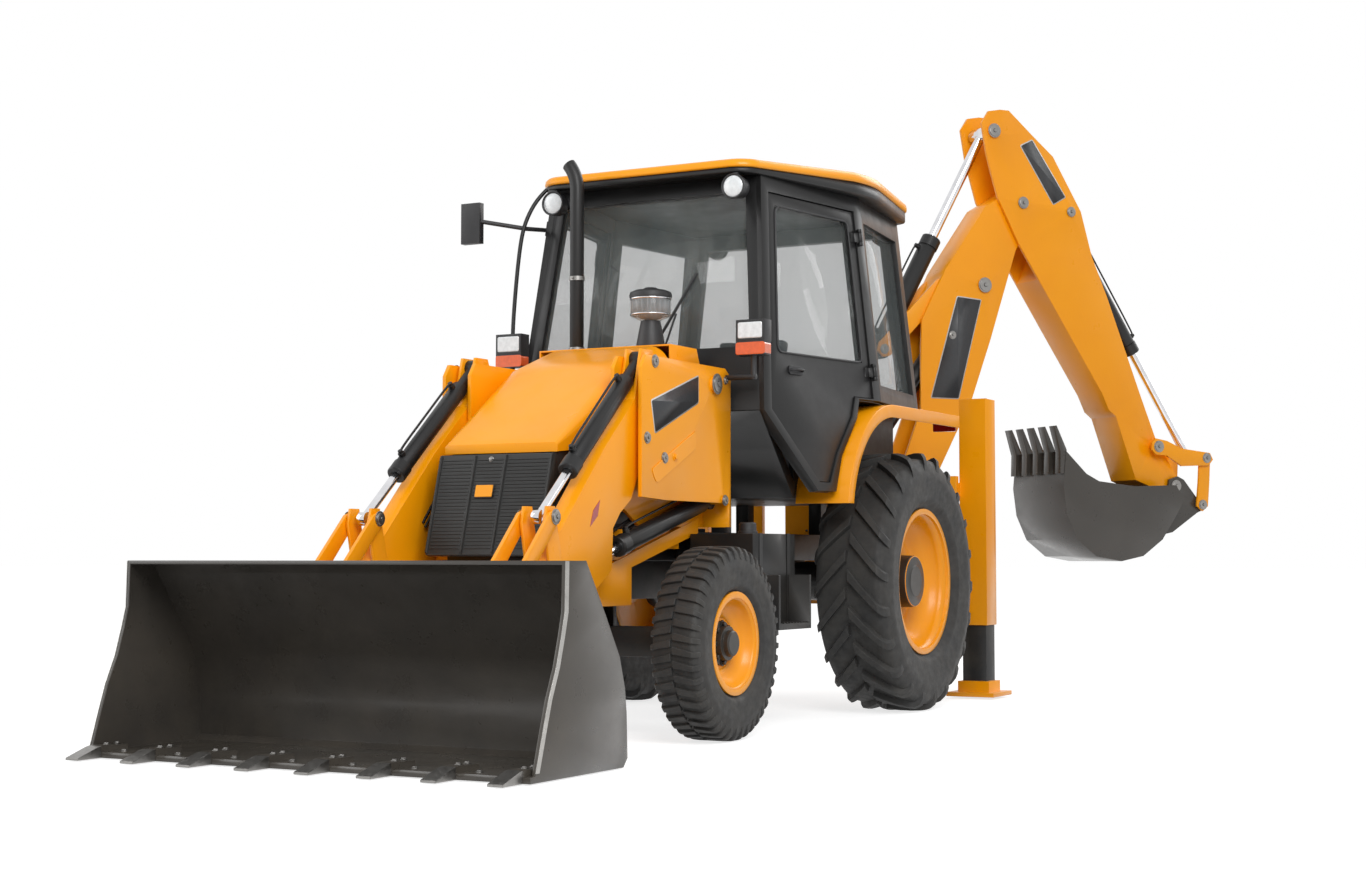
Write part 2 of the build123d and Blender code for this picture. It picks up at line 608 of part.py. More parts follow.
# Roof
ROOF_PLAN = [(1350, 560), (1290, 640), (420, 880), (240, 890), (-590, 730), (-640, 660),
             (-640, -660), (-590, -730), (240, -890), (420, -880), (1290, -640), (1350, -560)]
with BuildPart() as cab_roof:
    extrude(outline(Plane.XY.offset(ROOF_Z0), ROOF_PLAN, 30), amount=ROOF_Z1 - ROOF_Z0)
    fillet(cab_roof.faces().sort_by(Axis.Z)[-1].edges(), 30)
    slab(side_plane(0), [(ROOF_DROP_X, ROOF_Z1 + 60), (ROOF_DROP_X, ROOF_Z1), (1200, ROOF_Z1 - ROOF_DROP),
                         (1400, ROOF_Z1 - ROOF_DROP), (1400, ROOF_Z1 + 60)], 2000, mode=Mode.SUBTRACT)
finish(cab_roof.part, "cab_roof")

# Fixed glass: windscreen, rear quarters and rear window
with BuildPart() as cab_glass:
    extrude(grown(SCREEN, SCREEN_WINDOW, -SEAT_GAP), amount=GLASS_T / 2, both=True)
    for side in (1, -1):
        quarter_plane = cab_side(side, QUARTER_RAKE, *B_POST)
        extrude(grown(quarter_plane, quarter_points(QUARTER_WINDOW), -SEAT_GAP), amount=GLASS_T / 2, both=True)
    extrude(grown(REAR_PLANE, REAR_WINDOW, -SEAT_GAP), amount=GLASS_T / 2, both=True)
finish(cab_glass.part, "cab_glass")

# Doors and their glass, hung on a leaning pin outside the rear door post
for side, name in MIRROR:
    door_plane = cab_side(side, SIDE_RAKE, *SIDE_ORIGIN)
    with BuildPart() as door:
        slab(door_plane, on_side(DOOR_OUTLINE), DOOR_T)
        slab(door_plane, on_side(DOOR_WINDOW), DOOR_T + 10, mode=Mode.SUBTRACT)
        for height in DOOR_HINGES:
            along = height - DOOR_HINGES[0]
            bar(tuple(door_pin(side, along - 25)), tuple(door_pin(side, along + 25)), 14)
            hinge_block(side, along - 25, [(0, -6), (12, -8), (20, -27), (60, -27), (60, -19), (26, -19), (12, 2)], 50)
            bar(tuple(door_pin(side, along - 30)), tuple(door_pin(side, along + 30)), DOOR_PIN_R + PIN_FIT,
                Mode.SUBTRACT)
    finish(door.part, f"door_{name}")
    with BuildPart() as door_glass:
        extrude(grown(door_plane, on_side(DOOR_WINDOW), -SEAT_GAP), amount=GLASS_T / 2, both=True)
    finish(door_glass.part, f"door_glass_{name}")

# Rear fenders
FENDER_ARC_X = 160
FENDER_ARC_R = 657
FENDER_END = (810, 1132)
with BuildPart() as rear_fenders:
    for side in (1, -1):
        middle = side * (FENDER_OUT + FENDER_IN) / 2
        view = side_plane(middle)
        with BuildSketch(view) as sheet:
            with BuildLine():
                fender_top = Line((-845, FENDER_TOP), (FENDER_ARC_X, FENDER_TOP))
                fender_arc = TangentArc((FENDER_ARC_X, FENDER_TOP), FENDER_END, tangent=(1, 0))
                Line(FENDER_END, (FENDER_END[0] - FENDER_T, FENDER_END[1]))
                TangentArc((FENDER_ARC_X, FENDER_TOP - FENDER_T), (FENDER_END[0] - FENDER_T, FENDER_END[1]),
                           tangent=(1, 0))
                Line((FENDER_ARC_X, FENDER_TOP - FENDER_T), (-845, FENDER_TOP - FENDER_T))
                Line((-845, FENDER_TOP - FENDER_T), (-845, FENDER_TOP))
            make_face()
        extrude(sheet.sketch, amount=(FENDER_OUT - FENDER_IN) / 2, both=True)
        rim_view = side_plane(side * (FENDER_OUT - FENDER_T / 2))
        with BuildSketch(rim_view) as lip:
            with BuildLine():
                Line((-845, FENDER_TOP), (FENDER_ARC_X, FENDER_TOP))
                TangentArc((FENDER_ARC_X, FENDER_TOP), FENDER_END, tangent=(1, 0))
                Line(FENDER_END, (FENDER_END[0] - 70, FENDER_END[1]))
                TangentArc((FENDER_ARC_X, FENDER_TOP - 70), (FENDER_END[0] - 70, FENDER_END[1]), tangent=(1, 0))
                Line((FENDER_ARC_X, FENDER_TOP - 70), (-845, FENDER_TOP - 70))
                Line((-845, FENDER_TOP - 70), (-845, FENDER_TOP))
            make_face()
        extrude(lip.sketch, amount=FENDER_T / 2, both=True)
finish(rear_fenders.part, "rear_fenders")

# Seat
with BuildPart() as seat:
    block((170, -150, FLOOR_Z + SEAT_GAP), (430, 150, 1450))
    slab(side_plane(0), [(60, 1450), (560, 1450), (570, 1560), (150, 1560), (60, 2130), (-40, 2130), (40, 1500)], 500)
finish(seat.part, "seat")

# Dashboard, loader lever console and the backhoe levers
STEER_CENTRE = Vector(860, 0, 1900)
STEER_TILT = Vector(-0.45, 0, 1).normalized()
COLUMN = 62
COLUMN_FOOT = STEER_CENTRE - STEER_TILT * COLUMN
BINNACLE = [(COLUMN_FOOT.X + STEER_TILT.Z * 60, COLUMN_FOOT.Z - STEER_TILT.X * 60),
            (COLUMN_FOOT.X - STEER_TILT.Z * 60, COLUMN_FOOT.Z + STEER_TILT.X * 60)]
with BuildPart() as dashboard:
    slab(side_plane(0), [(905, FLOOR_Z + SEAT_GAP), (1080, 1380), (1010, 1850)] + BINNACLE
         + [(860, 1760), (870, FLOOR_Z + SEAT_GAP)], 300)
    block((300, -520, FLOOR_Z + SEAT_GAP), (860, -400, 1680))
    block((-480, -260, FLOOR_Z + SEAT_GAP), (-340, 260, 1560))
    for y in (-180, -60, 60, 180):
        bar((-410, y, 1560), (-390, y, 1900), 12)
    bar((700, -460, 1680), (730, -460, 1960), 12)
finish(dashboard.part, "dashboard")

# Steering wheel on its column
with BuildPart() as steering_wheel:
    rim_plane = Plane(origin=STEER_CENTRE, z_dir=STEER_TILT)
    with BuildSketch(rim_plane) as grip:
        Circle(190)
        Circle(165, mode=Mode.SUBTRACT)
        Rectangle(340, 24)
        Rectangle(24, 340)
        Circle(45)
    extrude(grip.sketch, amount=11, both=True)
    bar(tuple(STEER_CENTRE), tuple(STEER_CENTRE - STEER_TILT * (COLUMN - SEAT_GAP)), 22)
finish(steering_wheel.part, "steering_wheel")

# Lamps: work lamps under the roof and the front lamps on their stalks
with BuildPart() as lamps:
    for x, y, z, facing in ((1350, 545, 2755, 1), (1350, -545, 2755, 1), (-640, 560, 2770, -1), (-640, -560, 2770, -1)):
        bar((x - facing * 70, y, z), (x, y, z), 60)
        block((x - facing * 35 - 15, y - 15, z), (x - facing * 35 + 15, y + 15, ROOF_Z0 - SEAT_GAP))
    for side in (1, -1):
        y0 = side * 640
        y1 = side * 800
        block((1430, min(y0, y1), 1930), (1510, max(y0, y1), 2040))
        block((1440, min(y0, y1), 1860), (1510, max(y0, y1), 1930))
        bar((1470, side * 720, 1740), (1470, side * 720, 1860), 14)
        bar((1470, side * (TOWER_OUT_Y + TOWER_PLATE / 2 + SEAT_GAP), 1754), (1470, side * 734, 1754), 14)
finish(lamps.part, "lamps")

# Mirror on its bar at the right front post
with BuildPart() as mirrors:
    foot_plane = cab_side(-1, SIDE_RAKE, *SIDE_ORIGIN).offset(FRAME_T / 2 + SEAT_GAP + 5)
    slab(foot_plane, on_side([(1178, 2600), (1226, 2600), (1216, 2680), (1168, 2680)]), 10)
    bar((1200, -side_y(1200, 2640) - FRAME_T / 2 - 17, 2640), (1400, -680, 2620), 12)
    bar((1400, -680, 2620), (1520, -900, 2660), 12)
    block((1500, -1010, 2540), (1540, -890, 2760))
finish(mirrors.part, "mirrors")

# Loader towers: plates on each side of the arms, feet on the rails, side beams and front plates
with BuildPart() as loader_towers:
    for side in (1, -1):
        for y in (TOWER_IN_Y, TOWER_OUT_Y):
            low = 1000 if y == TOWER_IN_Y else 1120
            slab(side_plane(side * y), [(1420, low), (1420, 1760), (1480, 1800), (2300, 1800), (2340, 1740),
                                        (2340, 1130), (2100, low)], TOWER_PLATE)
        y0 = side * (TOWER_IN_Y - TOWER_PLATE / 2)
        y1 = side * (TOWER_OUT_Y + TOWER_PLATE / 2)
        block((1420, min(y0, y1), 1000), (1440, max(y0, y1), 1760))
        y2 = side * RAIL_OUT
        block((1660, min(y2, y0), RAIL_Z0 + 60), (2240, max(y2, y0), RAIL_Z1))
        slab(side_plane(side * (TOWER_IN_Y + 2.5)), [(1500, 1045), (2300, 835), (2480, 798), (2480, 620), (2180, 620),
                                                     (2180, 800), (1500, 970)], LASHING_PLATE)
        block((2200, min(y2, side * 410), 835), (2600, max(y2, side * 410), 865))
        cross_bar(ARM_PIVOT, side * (TOWER_IN_Y - 20), side * (TOWER_OUT_Y + 25), ARM_PIVOT_R)
        cross_bar(LIFT_BASE, side * TOWER_IN_Y, side * (TOWER_OUT_Y + 20), 20)
finish(loader_towers.part, "loader_towers")

# Lashing eyes: the front ends of the beams under the towers
with BuildPart() as lashing_eyes:
    for side in (1, -1):
        slab(side_plane(side * (TOWER_IN_Y + 2.5)), [(2480 + SEAT_GAP, 798), (2620, 770), (2640, 620),
                                                     (2480 + SEAT_GAP, 620)], LASHING_PLATE)
        cross_bar(LASHING_EYE, side * (TOWER_IN_Y - 20), side * (TOWER_IN_Y + 25), LASHING_R, Mode.SUBTRACT)
finish(lashing_eyes.part, "lashing_eyes")

# Loader arms joined by their cross tube
ARM_OUTLINE = [(1540, 1640), (1540, 1775), (2090, 1700), (2150, 1835), (2255, 1835), (2320, 1590), (2600, 1345),
               (3082, 862), (3230, 588), (3425, 325), (3435, 250), (3385, 225), (3310, 240), (2900, 560), (2530, 790),
               (2519, 982), (2455, 1052), (2352, 1119), (2150, 1480), (1660, 1625)]
with BuildPart() as loader_arms:
    for side in (1, -1):
        slab(side_plane(side * LOADER_Y), ARM_OUTLINE, ARM_W)
        cross_bar(ARM_PIVOT, side * (LOADER_Y - ARM_W / 2), side * (LOADER_Y + ARM_W / 2), 85)
        cross_bar(ARM_PIVOT, side * 300, side * 600, ARM_PIVOT_R + PIN_FIT, Mode.SUBTRACT)
        cross_bar(BUCKET_PIVOT, side * 400, side * 540, LOADER_PIN_R + PIN_FIT, Mode.SUBTRACT)
        cross_bar(LEVER_PIVOT, side * 400, side * 540, LOADER_PIN_R + PIN_FIT, Mode.SUBTRACT)
        slab(side_plane(side * LOADER_Y), [(2300, 1150), (2300, 700), (2560, 720), (2680, 760), (2755, 800),
                                           (2755, 985), (2690, 1005), (2560, 1065), (2440, 1130)], 62,
             mode=Mode.SUBTRACT)
        slab(side_plane(side * LOADER_Y), [(2060, 1760), (2230, 1700), (2340, 1600), (2420, 1700), (2300, 1950),
                                           (2060, 1950)], 62, mode=Mode.SUBTRACT)
        cross_bar(TILT_BASE, side * (LOADER_Y - ARM_W / 2 - 8), side * (LOADER_Y + ARM_W / 2 + 8), 18)
    cross_bar(CROSS_TUBE, -LOADER_Y + ARM_W / 2 - 5, LOADER_Y - ARM_W / 2 + 5, CROSS_TUBE_R)
finish(loader_arms.part, "loader_arms")

# Levers between the tilt rams and the bucket's links
with BuildPart() as loader_levers:
    for side in (1, -1):
        for y in (LOADER_Y - 58.5, LOADER_Y + 58.5):
            slab(side_plane(side * y), [(2945, 655), (2943, 625), (2958, 600), (2990, 588), (3030, 595), (3058, 640),
                                        (3140, 1000), (3120, 1070), (3060, 1070), (3048, 1010)], LEVER_PLATE)
        cross_bar(LEVER_PIVOT, side * (LOADER_Y - 75), side * (LOADER_Y + 75), LOADER_PIN_R)
finish(loader_levers.part, "loader_levers")

# Links from the levers to the bucket
with BuildPart() as loader_links:
    for side in (1, -1):
        for y in (LOADER_Y - 79, LOADER_Y + 79):
            slab(side_plane(side * y), [(3060, 1010), (3090, 1055), (3130, 1040), (3545, 615), (3530, 565),
                                        (3480, 560)], LINK_PLATE)
        cross_bar(BUCKET_LINK_PIN, side * (LOADER_Y - 90), side * (LOADER_Y + 90), LOADER_PIN_R)
finish(loader_links.part, "loader_links")

# Loader bucket: shell, side plates, ears, cutting edge and teeth
BUCKET_BACK = [(3470, BUCKET_BOTTOM), (3437, 40), (3445, 224), (3459, 321), (3501, 448), (3611, 615),
               (3732, 787), (3765, 834)]
BUCKET_FRONT = [(3920, 834), (3925, 637), (3950, 545), (3986, 429), (4041, 309), (4077, 202), (4129, 40),
                (4129, BUCKET_BOTTOM)]
BUCKET_CAVITY = [(3484, BUCKET_BOTTOM + 20), (3456, 50), (3463, 222), (3477, 316), (3517, 438), (3627, 606),
                 (3745, 775), (3775, 818), (4200, 818), (4200, BUCKET_BOTTOM + 20)]
with BuildPart() as loader_bucket:
    slab(side_plane(0), BUCKET_BACK + BUCKET_FRONT, BUCKET_W)
    slab(side_plane(0), BUCKET_CAVITY, BUCKET_W - 2 * BUCKET_SIDE, mode=Mode.SUBTRACT)
    block((3950, -BUCKET_W / 2, BUCKET_BOTTOM), (4165, BUCKET_W / 2, BUCKET_BOTTOM + EDGE_PLATE))
    for index in range(TOOTH_COUNT):
        y = (index - (TOOTH_COUNT - 1) / 2) * TOOTH_PITCH
        slab(side_plane(y), [(4010, 30), (4010, 52), (4150, 56), (4300, 14), (4300, BUCKET_BOTTOM), (4160, 5),
                             (4160, 30)], TOOTH_W)
    for side in (1, -1):
        for y in (LOADER_Y - 58.5, LOADER_Y + 58.5):
            slab(side_plane(side * y), [(3450, 190), (3400, 215), (3350, 232), (3335, 285), (3350, 330), (3400, 350),
                                        (3455, 590), (3480, 640), (3540, 645), (3620, 612), (3510, 445),
                                        (3452, 300)], LEVER_PLATE)
        cross_bar(BUCKET_PIVOT, side * (LOADER_Y - 75), side * (LOADER_Y + 75), LOADER_PIN_R)
        cross_bar(BUCKET_LINK_PIN, side * (LOADER_Y - 80), side * (LOADER_Y + 80), LOADER_PIN_R + PIN_FIT,
                  Mode.SUBTRACT)
finish(loader_bucket.part, "loader_bucket")

# Loader rams, both sides in one piece each: name, base, eye, sizes, barrel length, rod start, eye half width
LOADER_RAMS = [
    ("lift_ram", LIFT_BASE, LIFT_EYE, LIFT_RAM, 930, 112, 28, 60),
    ("tilt_ram", TILT_BASE, TILT_EYE, TILT_RAM, 850, 285, 20, 165),
]
for name, base, eye, sizes, length, start, eye_half, neck in LOADER_RAMS:
    with BuildPart() as barrels:
        for side in (1, -1):
            low = (base[0], side * LOADER_Y, base[1])
            high = (eye[0], side * LOADER_Y, eye[1])
            ram_barrel(low, high, ACROSS, sizes, length, 28, neck)
            pin_r = 20 if name == "lift_ram" else 18
            cross_bar(base, side * 400, side * 540, pin_r + PIN_FIT, Mode.SUBTRACT)
    finish(barrels.part, f"{name}_barrels")
    with BuildPart() as rods:
        for side in (1, -1):
            low = (base[0], side * LOADER_Y, base[1])
            high = (eye[0], side * LOADER_Y, eye[1])
            ram_rod(low, high, ACROSS, sizes, start, eye_half)
    finish(rods.part, f"{name}_rods")

# Rear frame: stabiliser boxes, cross rails and the plate that joins them to the chassis
with BuildPart() as rear_frame:
    for side in (1, -1):
        block((LEG_X - LEG_BOX / 2, side * LEG_Y - LEG_BOX / 2, LEG_BOX_Z0),
              (LEG_X + LEG_BOX / 2, side * LEG_Y + LEG_BOX / 2, LEG_BOX_Z1))
        inside = LEG_BOX / 2 - LEG_WALL
        block((LEG_X - inside, side * LEG_Y - inside, LEG_BOX_Z0 - 1),
              (LEG_X + inside, side * LEG_Y + inside, LEG_BOX_Z1 - LEG_WALL), Mode.SUBTRACT)
    reach = LEG_Y - LEG_BOX / 2
    block((-1050, -reach - 5, 560), (RAIL_REAR_X, reach + 5, 700))
    block((-1050, -reach - 5, 1200), (RAIL_REAR_X, reach + 5, 1340))
    for y in (-500, 0, 500):
        block((-1050, y - 240 + 180, 700), (RAIL_REAR_X, y + 240 - 180, 1200))
    block((SLIDE_X, -reach - 5, 600), (-1050, reach + 5, 680))
    block((SLIDE_X, -reach - 5, 1220), (-1050, reach + 5, 1300))
    block((RAIL_REAR_X - 40, -RAIL_OUT, 700), (RAIL_REAR_X, RAIL_OUT, 1200))
finish(rear_frame.part, "rear_frame")

# Stabiliser legs with their feet
for side, name in MIRROR:
    with BuildPart() as leg:
        half = LEG_BOX / 2 - LEG_WALL - SEAT_GAP
        block((LEG_X - half, side * LEG_Y - half, FOOT_Z0 + 60), (LEG_X + half, side * LEG_Y + half, 1300))
        block((LEG_X - FOOT_L / 2, side * LEG_Y - FOOT_W / 2, FOOT_Z0),
              (LEG_X + FOOT_L / 2, side * LEG_Y + FOOT_W / 2, FOOT_Z0 + 25))
        block((LEG_X - half - 25, side * LEG_Y - half - 25, FOOT_Z0 + 25),
              (LEG_X + half + 25, side * LEG_Y + half + 25, FOOT_Z0 + 90))
    finish(leg.part, f"stabiliser_{name}")

# Carriage that slides across the rear frame, with the lugs of the slew pin
LUG_Z = ((640, 700), (1200, 1260))
with BuildPart() as carriage:
    block((-1165, -CARRIAGE_HALF_W, 590), (SLIDE_X - SEAT_GAP, CARRIAGE_HALF_W, 1310))
    for z0, z1 in LUG_Z:
        block((SLEW_X, -100, z0), (-1165, 100, z1))
        bar((SLEW_X, 0, z0), (SLEW_X, 0, z1), 100)
    for z0, z1 in LUG_Z:
        bar((SLEW_X, 0, z0 - 1), (SLEW_X, 0, z1 + 1), SLEW_PIN_R + PIN_FIT, Mode.SUBTRACT)
finish(carriage.part, "carriage")

# Kingpost with the boom's foot boss and the head for the boom ram
with BuildPart() as kingpost:
    bar((SLEW_X, 0, LUG_Z[0][0] - 20), (SLEW_X, 0, LUG_Z[1][1] + 10), SLEW_PIN_R)
    bar((SLEW_X, 0, LUG_Z[0][1] + 5), (SLEW_X, 0, LUG_Z[1][0] - 5), 95)
    slab(hoe_plane(), [(0, 810), (200, 815), (270, 850), (280, 930), (220, 975), (0, 1080)], 180)
    slab(hoe_plane(), [(-60, 1266), (110, 1266), (120, 1440), (100, 1500), (20, 1500), (-60, 1380)], 130)
    slab(hoe_plane(), [(-20, 1370), (60, 1370), (130, 1300), (200, 1300), (200, 1560), (-20, 1560)], 84,
         mode=Mode.SUBTRACT)
    hoe_bar(BOOM_FOOT, -BOOM_W / 2 - 8, BOOM_W / 2 + 8, HOE_PIN_R)
    hoe_bar(BOOM_RAM_BASE, -65, 65, 25)
finish(kingpost.part, "kingpost")

# Boom: two side plates with webs, open underneath for its ram
BOOM_OUTLINE = [(130, 940), (140, 850), (210, 820), (300, 870), (847, 1892), (990, 2280), (1190, 2880),
                (1330, 3140), (1335, 3230), (1290, 3290), (1190, 3300), (960, 3163), (650, 2725), (473, 2388),
                (465, 2225), (461, 1808)]
BOOM_HOLLOW = [(0, 650), (500, 650), (500, 1020), (372, 1050), (822, 1905), (966, 2290), (1160, 2880),
               (1090, 2960), (985, 3150), (672, 2715), (495, 2400), (300, 2395), (0, 1800)]
with BuildPart() as boom:
    slab(hoe_plane(), BOOM_OUTLINE, BOOM_W)
    slab(hoe_plane(), BOOM_HOLLOW, BOOM_W - 2 * BOOM_PLATE, mode=Mode.SUBTRACT)
    slab(hoe_plane(), [(900, 2400), (1250, 2400), (1250, 2720), (900, 2720)], 124, mode=Mode.SUBTRACT)
    for offset_n in (-78, 78):
        slab(hoe_plane(offset_n), [(160, 2180), (200, 2140), (250, 2150), (500, 2400), (640, 2680), (600, 2660),
                                   (170, 2230)], 20)
    hoe_bar(DIPPER_RAM_BASE, -BOOM_W / 2 + 22, BOOM_W / 2 - 22, 25)
    hoe_bar(BOOM_FOOT, -140, 140, HOE_PIN_R + PIN_FIT, Mode.SUBTRACT)
    hoe_bar(BOOM_TOP, -140, 140, HOE_PIN_R + PIN_FIT, Mode.SUBTRACT)
    for offset_n in (-1, 1):
        hoe_bar(BOOM_RAM_EYE, offset_n * (BOOM_W / 2 - 40), offset_n * (BOOM_W / 2 + 12), 45)
finish(boom.part, "boom")

# Dipper: two plates at the top that straddle the boom, closed to a box below
DIPPER_OUT = DIPPER_IN + DIPPER_PLATE
HOE_TIP_R = 62
RAM_SLOT = [(1530, 3190), (1600, 3260), (1720, 3330), (2600, 2600), (2330, 2000), (2100, 2350), (1500, 3120)]
DIPPER_OUTLINE = [(922, 3717), (975, 3800), (1063, 3817), (1133, 3817), (1313, 3667), (1478, 3535), (1698, 3177),
                  (1783, 2876), (1901, 2611), (2170, 1939), (2290, 1649), (2495, 1350), (2435, 1290),
                  (2350, 1290), (2120, 1373), (1963, 1800), (1906, 1843), (1851, 1956), (1551, 2404),
                  (1202, 2929), (1041, 3232), (959, 3507)]
DIPPER_HOLLOW = [(800, 3900), (1200, 3850), (1420, 3540), (1560, 3240), (1500, 3060), (1440, 2900), (1330, 2640),
                 (900, 2640)]
with BuildPart() as dipper:
    slab(hoe_plane(), DIPPER_OUTLINE, 2 * DIPPER_OUT)
    slab(hoe_plane(), DIPPER_HOLLOW, 2 * DIPPER_IN, mode=Mode.SUBTRACT)
    slab(hoe_plane(), RAM_SLOT, 124, mode=Mode.SUBTRACT)
    hoe_bar(BOOM_TOP, -DIPPER_OUT - 8, DIPPER_OUT + 8, HOE_PIN_R)
    hoe_bar(HOE_RAM_BASE, -DIPPER_OUT - 8, DIPPER_OUT + 8, 25)
    hoe_bar(HOE_BUCKET_PIVOT, -DIPPER_OUT, DIPPER_OUT, HOE_TIP_R)
    hoe_bar(HOE_BUCKET_PIVOT, -200, 200, HOE_PIN_R + PIN_FIT, Mode.SUBTRACT)
    hoe_bar(HOE_LEVER_PIVOT, -200, 200, HOE_PIN_R + PIN_FIT, Mode.SUBTRACT)
    for offset_n in (-1, 1):
        hoe_bar(DIPPER_RAM_EYE, offset_n * (DIPPER_OUT - 10), offset_n * (DIPPER_OUT + 14), 45)
finish(dipper.part, "dipper")

# Tipping lever and link between the bucket ram and the hoe's bucket
with BuildPart() as tipping_lever:
    for offset_n in (-TIP_LEVER_N, TIP_LEVER_N):
        slab(hoe_plane(offset_n), [(2208, 1575), (2210, 1625), (2240, 1655), (2331, 1640), (2456, 1590), (2690, 1565),
                                   (2715, 1520), (2680, 1480), (2453, 1470), (2329, 1540), (2240, 1545)], TIP_LEVER_T)
    hoe_bar(HOE_LEVER_PIVOT, -TIP_LEVER_N - 10, TIP_LEVER_N + 10, HOE_PIN_R)
finish(tipping_lever.part, "tipping_lever")

with BuildPart() as tipping_link:
    for offset_n in (-LINK_N, LINK_N):
        slab(hoe_plane(offset_n), [(2620, 1510), (2630, 1565), (2690, 1565), (2708, 1510), (2700, 1370), (2685, 1200),
                                   (2640, 1165), (2592, 1200), (2610, 1360)], LINK_T)
    for offset_n in (-1, 1):
        hoe_bar(HOE_LINK_PIN, offset_n * (EAR_N - EAR_T / 2 - 4), offset_n * (LINK_N + LINK_T / 2 + 3), 25)
finish(tipping_link.part, "tipping_link")

# Hoe bucket: shell, side plates, ears and teeth
HOE_SHELL = [(1449, 1549), (1425, 1315), (1450, 1132), (1530, 966), (1680, 855), (1880, 823), (2056, 858),
             (2214, 968), (2343, 1150), (2400, 1245), (2330, 1335), (1992, 1323), (1707, 1353), (1607, 1401)]
HOE_CAVITY = [(1380, 1640), (1466, 1549), (1443, 1315), (1468, 1138), (1543, 980), (1686, 872), (1878, 840),
              (2048, 874), (2202, 980), (2329, 1160), (2380, 1243), (2430, 1300), (2300, 1500), (1400, 1640)]
with BuildPart() as hoe_bucket:
    slab(hoe_plane(), HOE_SHELL, HOE_BUCKET_W)
    slab(hoe_plane(), HOE_CAVITY, HOE_BUCKET_W - 2 * HOE_BUCKET_PLATE, mode=Mode.SUBTRACT)
    for offset_n in (-EAR_N, EAR_N):
        slab(hoe_plane(offset_n), [(2230, 985), (2400, 1020), (2610, 1155), (2685, 1185), (2680, 1245), (2600, 1265),
                                   (2500, 1380), (2450, 1402), (2380, 1380), (2370, 1330), (2395, 1250),
                                   (2320, 1130)], EAR_T)
    hoe_bar(HOE_BUCKET_PIVOT, -EAR_N - 12, EAR_N + 12, HOE_PIN_R)
    hoe_bar(HOE_LINK_PIN, -200, 200, 25 + PIN_FIT, Mode.SUBTRACT)
    for index in range(HOE_TEETH):
        offset_n = (index - (HOE_TEETH - 1) / 2) * (HOE_BUCKET_W - 70) / (HOE_TEETH - 1)
        slab(hoe_plane(offset_n), [(1444, 1400), (1457, 1556), (1380, 1715), (1360, 1712), (1410, 1540),
                                   (1405, 1400)], 60)
finish(hoe_bucket.part, "hoe_bucket")

# Backhoe rams: name, base, eye, sizes, barrel length, rod start, base half width, eye half width
HOE_RAMS = [
    ("boom_ram", BOOM_RAM_BASE, BOOM_RAM_EYE, BOOM_RAM, 1230, 290, 40, 45, 165),
    ("dipper_ram", DIPPER_RAM_BASE, DIPPER_RAM_EYE, DIPPER_RAM, 860, 800, 62, 90, 60),
    ("hoe_bucket_ram", HOE_RAM_BASE, HOE_ROD_PIN, HOE_BUCKET_RAM, 1090, 850, 50, 38, 60),
]
for name, base, eye, sizes, length, start, base_half, eye_half, neck in HOE_RAMS:
    low = tuple(hoe_point(*base))
    high = tuple(hoe_point(*eye))
    with BuildPart() as barrel:
        ram_barrel(low, high, HOE_ACROSS, sizes, length, base_half, neck)
        hoe_bar(base, -70, 70, 25 + PIN_FIT, Mode.SUBTRACT)
    finish(barrel.part, f"{name}_barrel")
    with BuildPart() as rod:
        ram_rod(low, high, HOE_ACROSS, sizes, start, eye_half)
    finish(rod.part, f"{name}_rod")

# Move every piece so that the origin is at the bottom centre of the whole machine
box_low = [1e9, 1e9, 1e9]
box_high = [-1e9, -1e9, -1e9]
for part in pieces.values():
    box = part.bounding_box()
    box_low = [min(a, b) for a, b in zip(box_low, tuple(box.min))]
    box_high = [max(a, b) for a, b in zip(box_high, tuple(box.max))]
ORIGIN = Vector((box_low[0] + box_high[0]) / 2, (box_low[1] + box_high[1]) / 2, box_low[2])

for name, part in pieces.items():
    moved = part.moved(Location(-ORIGIN))
    moved.label = name
    export_step(moved, f"parts/{name}.step")
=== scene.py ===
import math

import bmesh
import bpy
from mathutils import Matrix, Vector


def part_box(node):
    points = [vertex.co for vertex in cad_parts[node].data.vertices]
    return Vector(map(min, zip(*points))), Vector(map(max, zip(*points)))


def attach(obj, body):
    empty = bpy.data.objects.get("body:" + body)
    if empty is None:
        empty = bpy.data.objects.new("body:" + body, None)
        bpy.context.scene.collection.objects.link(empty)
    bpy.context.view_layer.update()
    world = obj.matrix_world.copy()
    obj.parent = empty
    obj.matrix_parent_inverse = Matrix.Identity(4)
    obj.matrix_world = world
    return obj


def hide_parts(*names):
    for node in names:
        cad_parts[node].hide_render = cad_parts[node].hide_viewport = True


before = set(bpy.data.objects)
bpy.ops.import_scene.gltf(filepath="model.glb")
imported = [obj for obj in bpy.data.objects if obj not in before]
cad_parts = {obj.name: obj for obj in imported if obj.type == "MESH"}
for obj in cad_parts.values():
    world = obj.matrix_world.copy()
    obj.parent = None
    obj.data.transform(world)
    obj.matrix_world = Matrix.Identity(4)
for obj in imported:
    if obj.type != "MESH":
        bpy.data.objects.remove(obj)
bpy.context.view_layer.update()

# The machine's own frame: X forward and Y left of the rear axle, on the ground. Numbers are in
# millimetres unless a comment says otherwise, and MM turns them into metres.
MM = 1000
REAR_RADIUS = 715
LEFT_LOW, LEFT_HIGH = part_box("rear_rim_left")
RIGHT_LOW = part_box("rear_rim_right")[0]
AXLE = Vector(((LEFT_LOW.x + LEFT_HIGH.x) / 2, (LEFT_HIGH.y + RIGHT_LOW.y) / 2,
               (LEFT_LOW.z + LEFT_HIGH.z) / 2 - REAR_RADIUS / MM))
SLEW = math.radians(38)
SLEW_X = -1400
LEFT = Vector((0, 1, 0))
AHEAD = Vector((1, 0, 0))
